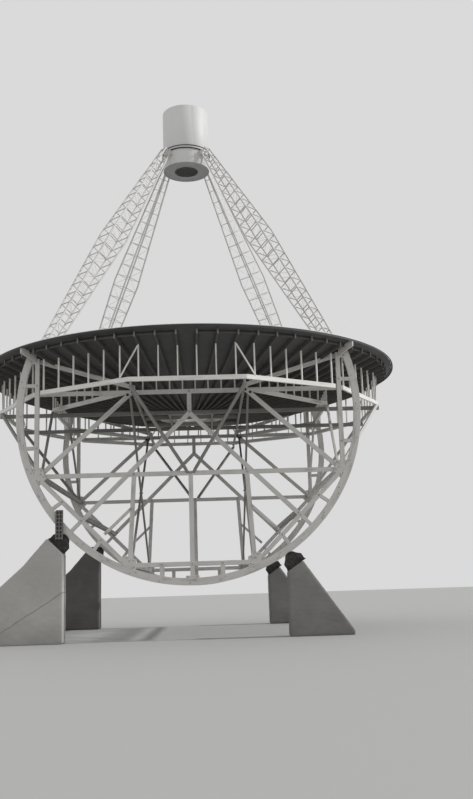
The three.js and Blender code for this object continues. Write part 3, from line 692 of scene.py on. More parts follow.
def light_studio():
    """Pale light from all round, and one broad sun high on the right."""
    pale_grey = (0.7, 0.7, 0.7, 1)
    to_sun = Vector((0.83, -0.02, 0.56))
    world = bpy.data.worlds.new("studio_light")
    world.use_nodes = True
    world.node_tree.nodes["Background"].inputs["Color"].default_value = pale_grey
    bpy.context.scene.world = world
    sun = bpy.data.objects.new("sun", bpy.data.lights.new("sun", "SUN"))
    sun.data.energy = 2.3
    sun.data.angle = radians(3)
    sun.rotation_euler = to_sun.to_track_quat("Z", "Y").to_euler()
    bpy.context.collection.objects.link(sun)
    bpy.context.scene.view_settings.view_transform = "Standard"


def lay_floor():
    deselect()
    ops.mesh.primitive_plane_add(size=160, location=(0, 0, -0.002))
    floor = bpy.context.object
    floor.name = "studio_floor"
    pale = Finish("studio_floor", Base_Color=(0.38, 0.38, 0.37, 1), Roughness=0.9)
    floor.data.materials.append(pale.material)


# WHEELS


def wheel_point(radius, bearing):
    """X and Z of a place on a wheel, at a bearing from its axle."""
    return radius * cos(radians(bearing)), AXIS_Z + radius * sin(radians(bearing))


def wheel_mitre(bearing):
    """The normal of the plane through the axle at a bearing of the wheel."""
    return Vector((-sin(radians(bearing)), 0, cos(radians(bearing))))


def in_plane(y, point):
    return Vector((point[0], y, point[1]))


def model_rim_segment(low, high, sweep):
    """One sawn segment of the rim, from bearing 0 upwards, between two distances towards the front."""
    section = rounded((WHEEL_RADIUS - RIM_DEEP, low), (WHEEL_RADIUS, high), 0.003)
    piece = turn(section, round(sweep / 2), sweep - 0.03, smooth=20)
    x, y, z = points_of(piece.data).T
    write_grain(piece.data, np.stack([np.arctan2(y, x) * WHEEL_RADIUS, np.hypot(x, y), z], axis=1))
    piece.data.transform(turned(90, "X"))
    return take_mesh(piece)


def lay_segment(pattern, bearing):
    place = Matrix.Translation((0, -WHEEL_Y, AXIS_Z)) @ turned(-bearing, "Y")
    return put_board(pattern, place, rows_of(pattern.attributes["grain"].data, "vector"))


def make_rim():
    """The rim, sawn from two layers of segments whose butt joints are staggered and bolted."""
    half = RIM_THICK / 2
    whole, short = 20, 10
    start, end = -180 - WHEEL_END_DEG, WHEEL_END_DEG
    front = model_rim_segment(TOUCH, half, whole)
    back = model_rim_segment(-half, -TOUCH, whole)
    back_end = model_rim_segment(-half, -TOUCH, short)
    parts = [lay_segment(front, bearing) for bearing in range(start, end, whole)]
    parts += [lay_segment(back, bearing) for bearing in range(start + short, end - short, whole)]
    parts += [lay_segment(back_end, bearing) for bearing in (start, end - short)]
    places = []
    for bearing in range(start + short, end, short):
        for nudge, inward in ((-0.9, 0.045), (0.9, 0.098)):
            places.append(wheel_point(WHEEL_RADIUS - inward, bearing + nudge))
    return parts, through_bolts(places, half, 0.018)


def make_gusset(side, bearing):
    """A plate over one of the octagon's corners, bolted to the three timbers that meet there."""
    thick = RIM_THICK - 0.006
    middle_x, middle_z = wheel_point(CORNER_RADIUS - 0.06, bearing)
    lean = radians(bearing + 90)

    def placed(places):
        for along, inward in places:
            x = middle_x + along * cos(lean) - inward * sin(lean)
            yield side * x, middle_z + along * sin(lean) + inward * cos(lean)

    bolt_places = placed([(-0.13, -0.04), (0.13, -0.04), (0, 0.04), (-0.07, 0.075), (0.07, 0.075)])
    bolts = through_bolts(bolt_places, thick / 2, 0.02)
    outline = list(placed([(-0.19, -0.075), (0.19, -0.075), (0.12, 0.11), (-0.12, 0.11)]))
    return plate(outline, -WHEEL_Y, thick), bolts


def make_wheel_rim():
    """The rim with its open octagon of chords and the short ties between them."""
    parts, bolts = make_rim()

    def timber(places, thinner, deep=DEPTH, faces=(None, None)):
        ends = [in_plane(-WHEEL_Y, place) for place in places]
        parts.append(board(*ends, RIM_THICK - thinner, deep, Y, faces))

    def tie(start, end, deep=0.07):
        timber((start, end), 0.012, deep)
        bolts.extend(through_bolts([start], RIM_THICK / 2 - 0.0015, 0.026))

    def in_rim(off_axle):
        return sqrt(TIE_END_RADIUS**2 - off_axle**2)

    for bearing in (-135, -90, -45):
        ends = (bearing - CORNER_DEG, bearing + CORNER_DEG)
        places = [wheel_point(CORNER_RADIUS, end) for end in ends]
        timber(places, 0.003, faces=[wheel_mitre(end) for end in ends])
    for side in (-1, 1):
        x = side * CHORD_AT
        low_mitre = wheel_mitre(-90 + side * (90 - CORNER_DEG))
        timber(((x, MID_BEAM_Z), (x, CHORD_TOP_Z)), 0.002, faces=(low_mitre, None))
        for z in TIE_HEIGHTS:
            tie((x, z), (side * in_rim(z - AXIS_Z), z))
        inner, outer, low = CHORD_AT - 0.03, 3.29, VERTEX_Z + 0.625
        head = [(inner, low), (outer, low), (outer - 0.01, low + 0.147), (inner, CHORD_TOP_Z - 0.005)]
        parts.append(plate([(side * x, z) for x, z in head], -WHEEL_Y, RIM_THICK - 0.005))
        head_bolts = ((3.12, 0.66), (3.22, 0.66), (3.12, 0.7), (3.25, 0.73))
        bolts += through_bolts([(side * x, VERTEX_Z + z) for x, z in head_bolts], 0.0375, 0.022)
        for bearing in (-CORNER_DEG, CORNER_DEG - 90):
            gusset, gusset_bolts = make_gusset(side, bearing)
            parts.append(gusset)
            bolts += gusset_bolts
        for bearing in (-45, -35, -55):
            start_radius = CHORD_AT / cos(radians(bearing + 45))
            ends = [wheel_point(radius, bearing) for radius in (start_radius, TIE_END_RADIUS)]
            tie(*[(side * x, z) for x, z in ends])
    for x in (0, -0.6, 0.6):
        tie((x, BOTTOM_CHORD_Z), (x, AXIS_Z - in_rim(x)), DEPTH)
    low = AXIS_Z - WHEEL_RADIUS + RIM_DEEP - 0.012
    cleat = [(-0.14, low), (0.14, low), (0.13, low + 0.06), (-0.13, low + 0.06)]
    parts.append(plate(cleat, -WHEEL_Y, RIM_THICK - 0.004))
    bolts += through_bolts([(-0.09, low + 0.035), (0.09, low + 0.035)], RIM_THICK / 2 - 0.002, 0.02)
    return parts, bolts


def make_post(radius, bearing):
    """A short post on a ring, its head cut to the slope of the rafter over it."""
    foot = around(radius, bearing, RING_Z + DEPTH / 2 - 0.01)
    head = around(radius, bearing, rafter_bottom(radius) - TOUCH)
    slope = (rafter_bottom(radius + 0.01) - rafter_bottom(radius - 0.01)) / 0.02
    out = outward(bearing)
    return board(foot, head, POST_WIDE, STUD, Z.cross(out), (None, Z - out * slope), 0.002)


def make_wheel_truss():
    """The straight members inside the near wheel, halved where they cross and bolted through."""
    y = -TRUSS_Y
    reach = CHORD_AT + DEPTH / 2
    parts, bolts = [], []

    def member(start, end, deep=DEPTH, thinner=0.0, extra=0.0, side=1):
        start, end = [in_plane(y, (side * x, z)) for x, z in (start, end)]
        longer = (end - start).normalized() * extra
        parts.append(board(start - longer, end + longer, BOARD - thinner, deep, Y))

    member((-reach, RING_Z), (reach, RING_Z))
    member((-reach, MID_BEAM_Z), (reach, MID_BEAM_Z))
    member((-1.28, BOTTOM_CHORD_Z), (1.28, BOTTOM_CHORD_Z))
    member((0, RING_Z), (0, AXIS_Z - 0.06), thinner=0.003)
    member((0, MID_BEAM_Z), (0, BOTTOM_CHORD_Z), thinner=0.003)
    for bearing in np.arange(-107.5, -72, RAFTER_STEP):
        parts.append(make_post(TRUSS_Y / cos(radians(bearing + 90)), bearing))
    for side in (-1, 1):
        for start, end, deep, thinner, extra in (
            (SLOPE_INNER, SLOPE_OUTER, DEPTH, 0.001, 0),
            ((1.1, RING_Z + 0.062), (1.21, RING_Z + 0.062), 0.06, 0.002, 0),
            ((1.18, RING_Z), (CHORD_AT - 0.06, MID_BEAM_Z + 0.02), DEPTH, 0.002, 0),
            ((0, AXIS_Z - 0.04), (FOOT_X, FOOT_Z), DEPTH, 0.002 + side * 0.0005, 0.025),
            ((1.14, MID_BEAM_Z), (1.24, BOTTOM_CHORD_Z + 0.01), DEPTH, 0.003, 0),
            ((1.2, AXIS_Z - 1.96), (1.725, AXIS_Z - 2.45), 0.06, 0.004, 0.02),
        ):
            member(start, end, deep, thinner, extra, side)
    joints = (
        (CHORD_AT - 0.13, MID_BEAM_Z), (CHORD_AT, MID_BEAM_Z), (CHORD_AT, RING_Z), (1.145, MID_BEAM_Z),
        (1.235, BOTTOM_CHORD_Z), (FOOT_X - 0.02, FOOT_Z + 0.02), (1.7, AXIS_Z - 2.43), (1.22, AXIS_Z - 1.98),
        (0, RING_Z), (3.1, VERTEX_Z + 0.7), (3.2, VERTEX_Z + 0.727), (0, MID_BEAM_Z), (0, AXIS_Z - 0.03),
    )
    for x, z in joints:
        for side in (-1, 1) if x else (1,):
            for facing in (Y, -Y) if x < 2.8 else (Y,):
                bolts.append(bolt(in_plane(y, (side * x, z)) + facing * BOARD / 2, facing, 0.032))
    bare = ((1.16, RING_Z + 0.005), (1.26, RING_Z - 0.05), (1.155, RING_Z + 0.11))
    places = [(side * x, z) for x, z in bare for side in (-1, 1)]
    return parts, bolts, through_bolts(places, BOARD / 2, 0.034, y)


def make_wheels():
    rim, rim_bolts = make_wheel_rim()
    truss, truss_bolts, bare_bolts = make_wheel_truss()
    near = (rim, truss, rim_bolts + truss_bolts, bare_bolts)
    far = [mirrored(parts, (1, -1, 1)) for parts in near]
    for end, (rim, truss, bolts, bare_bolts) in (("far", far), ("near", near)):
        assemble("wheel_rim_timbers_" + end, rim, PAINT, "wheel_rim_" + end)
        assemble("wheel_truss_timbers_" + end, truss, PAINT, "wheel_truss_" + end)
        assemble("wheel_bolts_" + end, bolts, PAINTED_IRON)
        assemble("wheel_iron_bolts_" + end, bare_bolts, IRON)


# FRAME UNDER THE DISH


def make_end_strut():
    """The strut from a wheel's mid beam up to a floor beam's end, on the far right."""
    head = (FLOOR_BEAM_AT, OUTER_RING - 0.025, FLOOR_BEAM_Z - DEPTH / 2 + 0.006)
    foot = (0.075, TRUSS_Y + BOARD / 2 + TOUCH + 0.005, MID_BEAM_Z + 0.045)
    return board(foot, head, 0.054, 0.066, X, (Y, Z))


def make_floor_beams():
    z, under = FLOOR_BEAM_Z, FLOOR_BEAM_Z - DEPTH / 2
    parts = all_corners([make_end_strut()])
    bolts = []
    beams = ((FLOOR_BEAM_AT, OUTER_RING + 0.025, 0), (SHORT_BEAM_AT, FLOOR_BEAM_AT, 0.004))
    for side in (-1, 1):
        for off, half, thinner in beams:
            at = side * off
            parts.append(board((at, -half, z), (at, half, z), BOARD, DEPTH - thinner, X))
            parts.append(board((-half, at, z), (half, at, z), BOARD - 0.001, DEPTH - thinner - 0.002, Y))
            for other in (-FLOOR_BEAM_AT, -SHORT_BEAM_AT, SHORT_BEAM_AT, FLOOR_BEAM_AT):
                bolts.append(bolt((at, other, under + 0.001), -Z, 0.026))
            for other in (-INNER_RING, INNER_RING) if half > INNER_RING else ():
                bolts.append(bolt((at, other, under), -Z, 0.026))
                bolts.append(bolt((other, at, under + 0.001), -Z, 0.026))
    return parts, bolts


def ring_board(apothem, sides, bearing, stop_y):
    """One side of a flat-sided ring, mitred to its neighbours, or cut off across Y at a limit."""
    out = outward(bearing)
    step = 180 / sides
    half = Z.cross(out) * (apothem * tan(radians(step)))
    middle = around(apothem, bearing, RING_Z)
    ends = [middle - half, middle + half]
    faces = [Z.cross(outward(bearing - step)), Z.cross(outward(bearing + step))]
    for i, end in enumerate(ends):
        if abs(end.y) > stop_y:
            share = (stop_y - abs(middle.y)) / (abs(end.y) - abs(middle.y))
            ends[i] = middle.lerp(end, share)
            faces[i] = Y
    return board(*ends, BOARD, DEPTH, out, faces)


def ring_reach(apothem, sides, bearing):
    """Distance from the dish's axis to a ring of flat sides, in a bearing."""
    step = 360 / sides
    return apothem / cos(radians(bearing - round(bearing / step) * step))


def ring_posts(apothem, sides, last):
    """The posts over a ring, under each rafter from one bearing to its mirror image."""
    bearings = np.arange(-last, last + 0.5, RAFTER_STEP)
    return [make_post(ring_reach(apothem, sides, bearing), bearing) for bearing in bearings]


def make_inner_ring_side():
    """The part of the eight-sided ring between the wheels, on the right, with its posts."""
    parts = [ring_board(INNER_RING, 8, bearing, TRUSS_INSIDE) for bearing in (-45, 0, 45)]
    parts += ring_posts(INNER_RING, 8, 62.5)
    corner = ring_reach(INNER_RING, 8, CORNER_DEG)
    bearings = [middle + nudge for middle in (-CORNER_DEG, CORNER_DEG) for nudge in (-1.1, 1.1)]
    return parts, [bolt(around(corner, bearing, RING_UNDER), -Z, 0.024) for bearing in bearings]


def make_outer_ring_quarter():
    """A quarter of the twelve-sided ring, centred on +X, with its posts and small slanting sticks."""
    parts = [ring_board(OUTER_RING, 12, bearing, 3.008) for bearing in (-30, 0, 30)]
    parts += ring_posts(OUTER_RING, 12, 42.5)
    foot_reach, head_reach = [ring_reach(OUTER_RING, 12, bearing) for bearing in (17.5, 12.5)]
    for side in (-1, 1):
        out = outward(side * 15)
        foot = around(foot_reach, side * 17.5, RING_Z + DEPTH / 2 - 0.004) + out * 0.028
        head = around(head_reach, side * 12.5, rafter_bottom(head_reach) - 0.02) + out * 0.028
        parts.append(board(foot, head, 0.018, 0.03, out, (Z, Z), 0.0015))
    bolts = []
    for bearing in (-15.8, -14.2, 14.2, 15.8):
        bolts.append(bolt(around(ring_reach(OUTER_RING, 12, bearing), bearing, RING_UNDER), -Z, 0.024))
    return parts, bolts


def make_tie(x, z):
    """A square timber across the dish from wheel to wheel."""
    return board((x, -TRUSS_INSIDE, z), (x, TRUSS_INSIDE, z), DEPTH, DEPTH, Z)


def make_brace(x, z, bolts_in, facings, struts):
    """A tie across the dish at a place, with its struts, and bolts on two faces near its ends."""
    parts, bolts = [make_tie(x, z)], []
    for side in (-1, 1):
        for foot_in, head_x, head_y, wide, deep, along in struts(side):
            ends = (x, side * (TRUSS_INSIDE - foot_in), z), (head_x, side * head_y, BRACE_TOP)
            parts.append(board(*ends, wide, deep, along, (None, Z)))
        for facing in facings:
            place = Vector((x, side * (TRUSS_INSIDE - bolts_in), z))
            bolts.append(bolt(place + facing * DEPTH / 2, facing, 0.03))
    return parts, bolts


def make_side_brace():
    """The tie between the wheels' mid beams, with its knee struts and outriggers up to the two rings."""
    return make_brace(CHORD_AT - 0.07, MID_BEAM_Z, 0.08, (X, -X), lambda side: (
        (0.07, INNER_RING, 1.33, BOARD, 0.07, X), (0.07, 4.2, 1.3, BOARD - 0.003, 0.067, (1, side, 0)),
    ))


def make_sway_brace():
    """The tie between the wheels' bottoms, with a pair of long crossed diagonals up to the floor beams."""
    x, z = 1.215, BOTTOM_CHORD_Z
    parts, bolts = make_brace(x, z, 0.1, (-X, X), lambda side: (
        (0.05, x, 0.06 - TRUSS_INSIDE, BOARD - 0.001 - side * 0.001, 0.07, X),
    ))
    crossing = Vector((x, 0, (z + BRACE_TOP) / 2))
    for facing in (-X, X):
        bolts.append(bolt(crossing + facing * (BOARD / 2 - 0.001), facing, 0.03))
    return parts, bolts


def make_foot_tie():
    return [make_tie(FOOT_X - 0.06, FOOT_Z + 0.06)], []


def make_frame():
    """The timbers between the wheels, the left ones mirrored from the right, and the outer ring."""
    bolts = []

    def add(node, parts, part_bolts):
        # Painted light and shade by member: the rings take the brightened paint, the inner timbers and the
        # left side brace the shade-darkened paint, and the right side brace, which the sun reaches, the plain
        # paint.
        paint = LIGHT_BRIGHTENED_PAINT if "ring" in node else SHADE_DARKENED_PAINT
        paint = PAINT if node == "side_brace_right" else paint
        assemble(node + "_timbers", parts, paint, node)
        bolts.extend(part_bolts)

    add("floor_beams", *make_floor_beams())
    for node, make in (
        ("inner_ring_", make_inner_ring_side), ("side_brace_", make_side_brace),
        ("sway_brace_", make_sway_brace), ("foot_tie_", make_foot_tie),
    ):
        right = make()
        add(node + "left", *[mirrored(parts, (-1, 1, 1)) for parts in right])
        add(node + "right", *right)
    quarter = make_outer_ring_quarter()
    for name, bearing in (("far", 90), ("left", 180), ("near", 270), ("right", 0)):
        add("outer_ring_" + name, *[[put_round(part.data, bearing) for part in parts] for parts in quarter])
    for part in sum(quarter, []):
        bpy.data.objects.remove(part)
    assemble("frame_bolts", bolts, PAINTED_IRON)


# DISH


def model_rafter():
    top = [(float(r), dish_z(r) - UNDER_SHEET) for r in np.linspace(RAFTER_OUTER, RAFTER_INNER, 17)]
    bottom = [(r, dish_z(r) - deep) for r, deep in zip(RAFTER_BREAKS, RAFTER_DEPTHS)]
    return take_mesh(plate(bottom + top, 0, RAFTER_WIDE, 0.0025))


def cutting_block(low, high):
    deselect()
    ops.mesh.primitive_cube_add(size=1)
    block = bpy.context.object
    low, high = Vector(low), Vector(high)
    block.data.transform(Matrix.Translation((low + high) / 2) @ Matrix.Diagonal((*(high - low), 1)))
    return block


def notch(piece):
    """Cuts the room of the wheel's end and its sloped beam out of a timber of the far right quarter."""
    start, end = in_plane(TRUSS_Y, SLOPE_INNER), in_plane(TRUSS_Y, SLOPE_OUTER)
    reach = (end - start).normalized() * 0.001
    cut(piece, board(start - reach, end + reach, BOARD + 0.001, DEPTH + 0.001, Y, ease=0.0005))
    half = RIM_THICK / 2 + TOUCH
    low, high = (3.12, WHEEL_Y - half, VERTEX_Z + 0.56), (3.33, WHEEL_Y + half, VERTEX_Z + 0.791)
    return cut(piece, cutting_block(low, high))


def make_purlin(radius, low, high, bearing):
    """A block between two rafters, that follows the slope of the dish."""
    out = outward(bearing)
    half = Z.cross(out) * (radius * tan(radians(RAFTER_STEP / 2)) - RAFTER_WIDE / 2)
    middle = around(radius, bearing, dish_z(radius) - (low + high) / 2)
    return board(middle - half, middle + half, PURLIN_WIDE, low - high, out + Z * dish_slope(radius))


def make_outrigger():
    """The board from a wheel's top corner out under the edge of the dish, on the far right."""
    mid_facet = cos(radians(RAFTER_STEP / 2))
    inner = OUTRIGGER_INNER
    outer = (EDGE_RADIUS - RIM_FOLD) * mid_facet - 0.002
    lip = SHEET_OUTER * mid_facet - 0.003
    lip_under = 0.022
    outline = [(radius, dish_z(radius) - below) for radius, below in (
        (inner, OUTRIGGER_DEEP), (outer, OUTRIGGER_DEEP), (outer, lip_under),
        (lip, lip_under), (lip, UNDER_SHEET), (inner, UNDER_SHEET),
    )]
    piece = plate(outline, 0, RAFTER_WIDE, 0.0025)
    piece.data.transform(turned(45))
    return piece


def make_rafters():
    """The rafters with two rows of blocks between them, in quarters, and the outriggers."""
    pattern = model_rafter()
    bearings = np.arange(RAFTER_STEP / 2, 90, RAFTER_STEP)
    parts = [put_board(pattern, turned(bearing), points_of(pattern)) for bearing in bearings]
    parts = [notch(part) if 40 < bearing < 55 else part for part, bearing in zip(parts, bearings)]
    for bearing in np.arange(RAFTER_STEP, 90, RAFTER_STEP):
        parts.append(make_purlin(INNER_PURLIN, 0.06, 0.02, bearing))
        parts.append(make_purlin(OUTER_PURLIN, 0.046, 0.012, bearing))

    def at_rim(polygon):
        place = polygon.center
        reach = hypot(place.x, place.y)
        return reach > RAFTER_OUTER - 0.01 and polygon.normal.dot(place) > 0.95 * reach

    for name, quarter in corners(parts):
        piece = assemble("rafters_" + name + "_timbers", quarter, TIMBER, "rafters_" + name)
        second_finish(piece, SHADE_DARKENED_PAINT, at_rim)
    assemble("outriggers", all_corners([notch(make_outrigger())]), PAINT)


def make_sheet(inner, outer, start, sweep, lift):
    """One sheet of the bowl, bent over the rafters, its far edge raised over the next sheet."""
    across = round(sweep / RAFTER_STEP) * 2
    deselect()
    ops.mesh.primitive_grid_add(x_subdivisions=8, y_subdivisions=across, size=1)
    piece = bpy.context.object
    places = points_of(piece.data)
    lap = SHEET_LAP if outer < SHEET_OUTER else 0
    radius = inner + (places[:, 0] + 0.5) * (outer + lap - inner)
    step = np.round((places[:, 1] + 0.5) * across)
    last, between = step == across, step % 2 == 1
    bearing = np.radians(start + step * RAFTER_STEP / 2 + last * degrees(SHEET_LAP / outer))
    facet = np.where(between, cos(radians(RAFTER_STEP / 2)), 1.0)
    sag = between * chance.uniform(-0.0018, 0.0006, len(radius))
    height = dish_z(radius) + sag + (last * 0.0012 + lift)
    places = np.stack([radius * facet * np.cos(bearing), radius * facet * np.sin(bearing), height], axis=1)
    move_points(piece.data, places)
    apply(piece, "SOLIDIFY", thickness=SHEET_THICK, offset=-1)
    write_grain(piece.data)
    ops.object.shade_smooth_by_angle(angle=radians(3))
    return piece


def make_bowl():
    """The bowl of lapped sheets in three rows, and the nails that hold them along the rafters."""
    skins = ["skin_" + name for name in ("far_right", *MIRRORS)]
    for row, (name, inner, outer, sweep) in enumerate(SHEET_ROWS):
        lift = (2 - row) * 0.0013
        starts = np.arange(RAFTER_STEP / 2, 360, sweep)
        parts = [make_sheet(inner, outer, start, sweep, lift) for start in starts]
        piece = assemble(name + "_sheets", parts, BOWL, *skins)
        # The bowl's down-facing faces take the dark zinc as painted shade.
        second_finish(piece, PAINTED_SHADE_UNDERSIDE, lambda polygon: polygon.normal.z < 0)
    nails = []
    for radius in np.arange(0.95, RAFTER_OUTER, 0.23):
        place = (radius, 0, dish_z(radius) + 0.0005)
        nails.append(fasten(NAIL, place, (-dish_slope(radius), 0, 1), 0.014))
    pattern = take_mesh(join(nails))
    bearings = np.arange(RAFTER_STEP / 2, 360, RAFTER_STEP)
    assemble("bowl_nails", [put_round(pattern, bearing) for bearing in bearings], PALE_ZINC_AND_HIGHLIGHT)


def make_rim_band():
    """The folded band round the edge with a rolled bead and riveted straps: the band painted dark as painted
    shade, its bead and up-facing faces painted pale as a painted highlight.
    """
    top = dish_z(EDGE_RADIUS) + 0.001
    inner, fold, low = SHEET_OUTER + TOUCH, RIM_RADIUS - RIM_FOLD, -RIM_BAND_TALL
    band = [
        (fold, low), (RIM_RADIUS - 0.0008, low - 0.0006), (RIM_RADIUS, low), (RIM_RADIUS, -0.003),
        (RIM_RADIUS - 0.003, 0), (inner, -0.015), (inner, -0.015 - RIM_FOLD), (fold, -RIM_FOLD - 0.002),
    ]
    parts = [turn(raised(band, top), 144, smooth=30)]
    bead = []
    for lean in range(0, 360, 30):
        out = outward(lean) * BEAD_RADIUS
        bead.append((RIM_RADIUS - BEAD_RADIUS + 0.002 + out.x, top - BEAD_RADIUS + out.y))
    # The bead takes the pale zinc as a painted highlight along the dish's edge.
    assemble("rim_bead", [turn(bead, 144, smooth=50)], PALE_ZINC_AND_HIGHLIGHT, "rim_band")
    low, high = top - RIM_BAND_TALL + 0.004, top - 2 * BEAD_RADIUS - 0.002
    face = RIM_RADIUS + 0.0012
    strap_deg = 0.5
    strap = [turn(oblong(RIM_RADIUS, face, low, high), 2, strap_deg)]
    for bearing in (0.1, 0.4):
        for height in (low + 0.01, high - 0.01):
            strap.append(fasten(NAIL, around(face, bearing, height), outward(bearing), 0.006))
    pattern = take_mesh(join(strap))
    parts += [put_round(pattern, bearing - strap_deg / 2) for bearing in np.arange(RAFTER_STEP / 2, 360, 15)]
    band = assemble("rim_edging", parts, PAINTED_SHADE_BAND, "rim_band")
    # The band's up-facing faces take the pale zinc as a painted highlight; the rest stays painted dark as
    # painted shade.
    second_finish(band, PALE_ZINC_AND_HIGHLIGHT, lambda polygon: polygon.normal.z > 0.4)


def make_hub():
    """The hub, of two layers of sawn segments with staggered joints, bolted from below."""
    top = dish_z(SHEET_INNER) - SHEET_THICK - TOUCH
    middle = (RING_UNDER + top) / 2
    outer = RAFTER_INNER - 0.001
    segment_deg = 45
    parts = []
    for low, high, first in ((RING_UNDER, middle - TOUCH, 0), (middle + TOUCH, top, segment_deg / 2)):
        section = rounded((HUB_INNER, low), (outer, high), 0.0025)
        pattern = take_mesh(turn(section, 9, segment_deg - 0.2, smooth=20))
        write_grain(pattern)
        places, bearings = points_of(pattern), np.arange(first, 360 + first, segment_deg)
        parts += [put_board(pattern, turned(bearing), places) for bearing in bearings]
    bolts = []
    for bearing in np.arange(4, 364, 22.5):
        for radius in (HUB_INNER + 0.06, outer - 0.06):
            bolts.append(bolt(around(radius, bearing, RING_UNDER), -Z, 0.024))
    assemble("hub_timbers", parts, PAINT, "hub_ring")
    assemble("hub_bolts", bolts, PAINTED_IRON)


# LEGS AND DRUM


def make_leg():
    """One lattice leg: four rails that spread towards the middle, rungs and, on two faces, thin rods."""
    down = LEG_FOOT - LEG_TOP
    along = down.normalized()
    sideways = Vector((-along.y, along.x, 0)).normalized()
    out = along.cross(sideways).normalized()
    plate_half, plate_thick = 0.15, 0.025
    head_tall, head_wide = 0.11, 0.19
    spread = hypot(LEG_FOOT.x, LEG_FOOT.y)
    slope = Vector((LEG_FOOT.x / spread, LEG_FOOT.y / spread, dish_slope(spread))).normalized()
    normal = sideways.cross(slope).normalized()
    normal *= copysign(1, normal.z)
    foot = Vector((LEG_FOOT.x, LEG_FOOT.y, dish_z(spread) + 0.03))
    foot_top = foot + normal * (plate_thick / 2)

    def corner(share, i):
        half = float(np.interp(share, (0, LEG_BEND, 1), LEG_HALVES))
        u, v = ((-1, -1), (1, -1), (1, 1), (-1, 1))[i % 4]
        return LEG_TOP + down * share + sideways * (u * half) + out * (v * half)

    parts = []
    for i in range(4):
        bend, end = corner(LEG_BEND, i), corner(1, i)
        fall = (foot_top - bend).dot(normal) / (end - bend).dot(normal)
        parts.append(board(corner(0, i), bend, LEG_RAIL, LEG_RAIL, sideways, (along, along), 0.0025))
        parts.append(board(bend, bend.lerp(end, fall), LEG_RAIL, LEG_RAIL, sideways, (along, normal), 0.0025))
    shares = [0.004 + 0.956 * step / (LEG_RUNGS - 1) for step in range(LEG_RUNGS)]
    for step, share in enumerate(shares):
        for i in range(4):
            parts.append(board(corner(share, i), corner(share, i + 1), *RUNG, along, ease=0.0015))
            if step < LEG_RUNGS - 1 and i % 2:
                near, far = (i, i + 1) if step % 2 else (i + 1, i)
                ends = corner(share, near), corner(shares[step + 1], far)
                parts.append(board(*ends, LEG_ROD, LEG_ROD, along.cross(out), ease=0.0015))
    reach = slope * plate_half
    parts.append(board(foot - reach, foot + reach, 2 * plate_half, plate_thick, sideways))
    near = 0.56 * sqrt(0.5)
    head_z = LEG_TOP.z - head_tall / 2
    head = board((near, near, head_z), (LEG_TOP.x, LEG_TOP.y, head_z), head_tall, head_wide, Z)
    parts.append(cut(head, turn(oblong(0, DRUM_RADIUS + TOUCH, 11, 12), 96)))
    bolts = []
    for u in (-0.12, 0.12):
        for v in (-0.12, 0.12):
            bolts.append(bolt(foot_top + slope * u + sideways * v, normal, 0.026))
    for u in (-0.06, 0.06):
        place = Vector((LEG_TOP.x - 0.03, LEG_TOP.y - 0.03, head_z - head_tall / 2)) + sideways * u
        bolts.append(bolt(place, -Z, 0.024))
    return parts, bolts


def make_legs():
    all_bolts = []
    for name, leg, bolts in corners(*make_leg()):
        all_bolts += bolts
        assemble("lattice_leg_" + name, leg, PAINT, "leg_" + name)
    assemble("leg_bolts", all_bolts, PAINTED_IRON)


def make_drum_sides():
    """The drum's wall and low cone, of three lapped and riveted sheets; the two away from the sun are painted
    paler than the sunward one, as painted light.
    """
    bottom, top = DRUM_BOTTOM_Z + DISC_TALL + TOUCH, DRUM_TOP_Z
    cone, inside = top + DRUM_CONE, DRUM_RADIUS - DRUM_WALL
    outline = [
        (inside, bottom), (DRUM_RADIUS - 0.001, bottom), (DRUM_RADIUS, bottom + 0.002),
        (DRUM_RADIUS, top - 0.012), (DRUM_RADIUS - 0.004, top - 0.003), (DRUM_RADIUS - 0.014, top),
        (0.06, cone), (0, cone), (0, cone - DRUM_WALL), (inside, top - DRUM_WALL - 0.006),
    ]
    parts = [turn(outline, 96)]
    seam_deg = 3.2
    face = DRUM_RADIUS + 0.0009
    seam = []
    for low, high in ((bottom + 0.01, HOOP_Z - 0.047), (HOOP_Z + 0.047, top - 0.014)):
        seam.append(turn(oblong(DRUM_RADIUS, face, low, high), 3, seam_deg))
    middle = outward(seam_deg / 2)
    for height in np.arange(bottom + 0.03, top - 0.02, 0.055):
        if abs(height - HOOP_Z) > 0.06:
            seam.append(fasten(NAIL, middle * (face - 0.0002) + Z * height, middle, 0.009))
    pattern = take_mesh(join(seam))
    parts += [put_round(pattern, bearing - seam_deg / 2) for bearing in DRUM_SEAMS]
    sides = assemble("drum_sides", parts, DRUM, "drum_shell")

    # The sheets away from the sun take the paler paint as painted light.
    def on_painted_light_sheet(polygon):
        bearing = degrees(atan2(polygon.center.y, polygon.center.x))
        return not DRUM_SEAMS[0] < bearing < DRUM_SEAMS[1]

    second_finish(sides, DRUM_PAINTED_LIGHT, on_painted_light_sheet)


def make_drum_disc():
    """The drum's bottom, pressed flat between a bead round its hole and one at its edge."""
    hole, edge, tall = DRUM_HOLE, DRUM_RADIUS, DISC_TALL
    outline = [
        (hole, tall - 0.001), (hole, 0.001), (hole + 0.001, 0), (hole + 0.012, 0),
        (hole + 0.014, 0.002), (edge - 0.012, 0.002), (edge - 0.01, 0), (edge - 0.001, 0),
        (edge, 0.001), (edge, tall), (hole + 0.001, tall),
    ]
    parts = [turn(raised(outline, DRUM_BOTTOM_Z), 96, smooth=50)]
    for bearing in np.arange(0, 360, 15):
        parts.append(fasten(NAIL, around(edge - 0.03, bearing, DRUM_BOTTOM_Z + 0.002), -Z, 0.01))
    # The bottom disc takes the darker drum paint as painted shade.
    assemble("drum_disc", parts, DRUM_UNDERSIDE_PAINTED_SHADE, "drum_bottom")


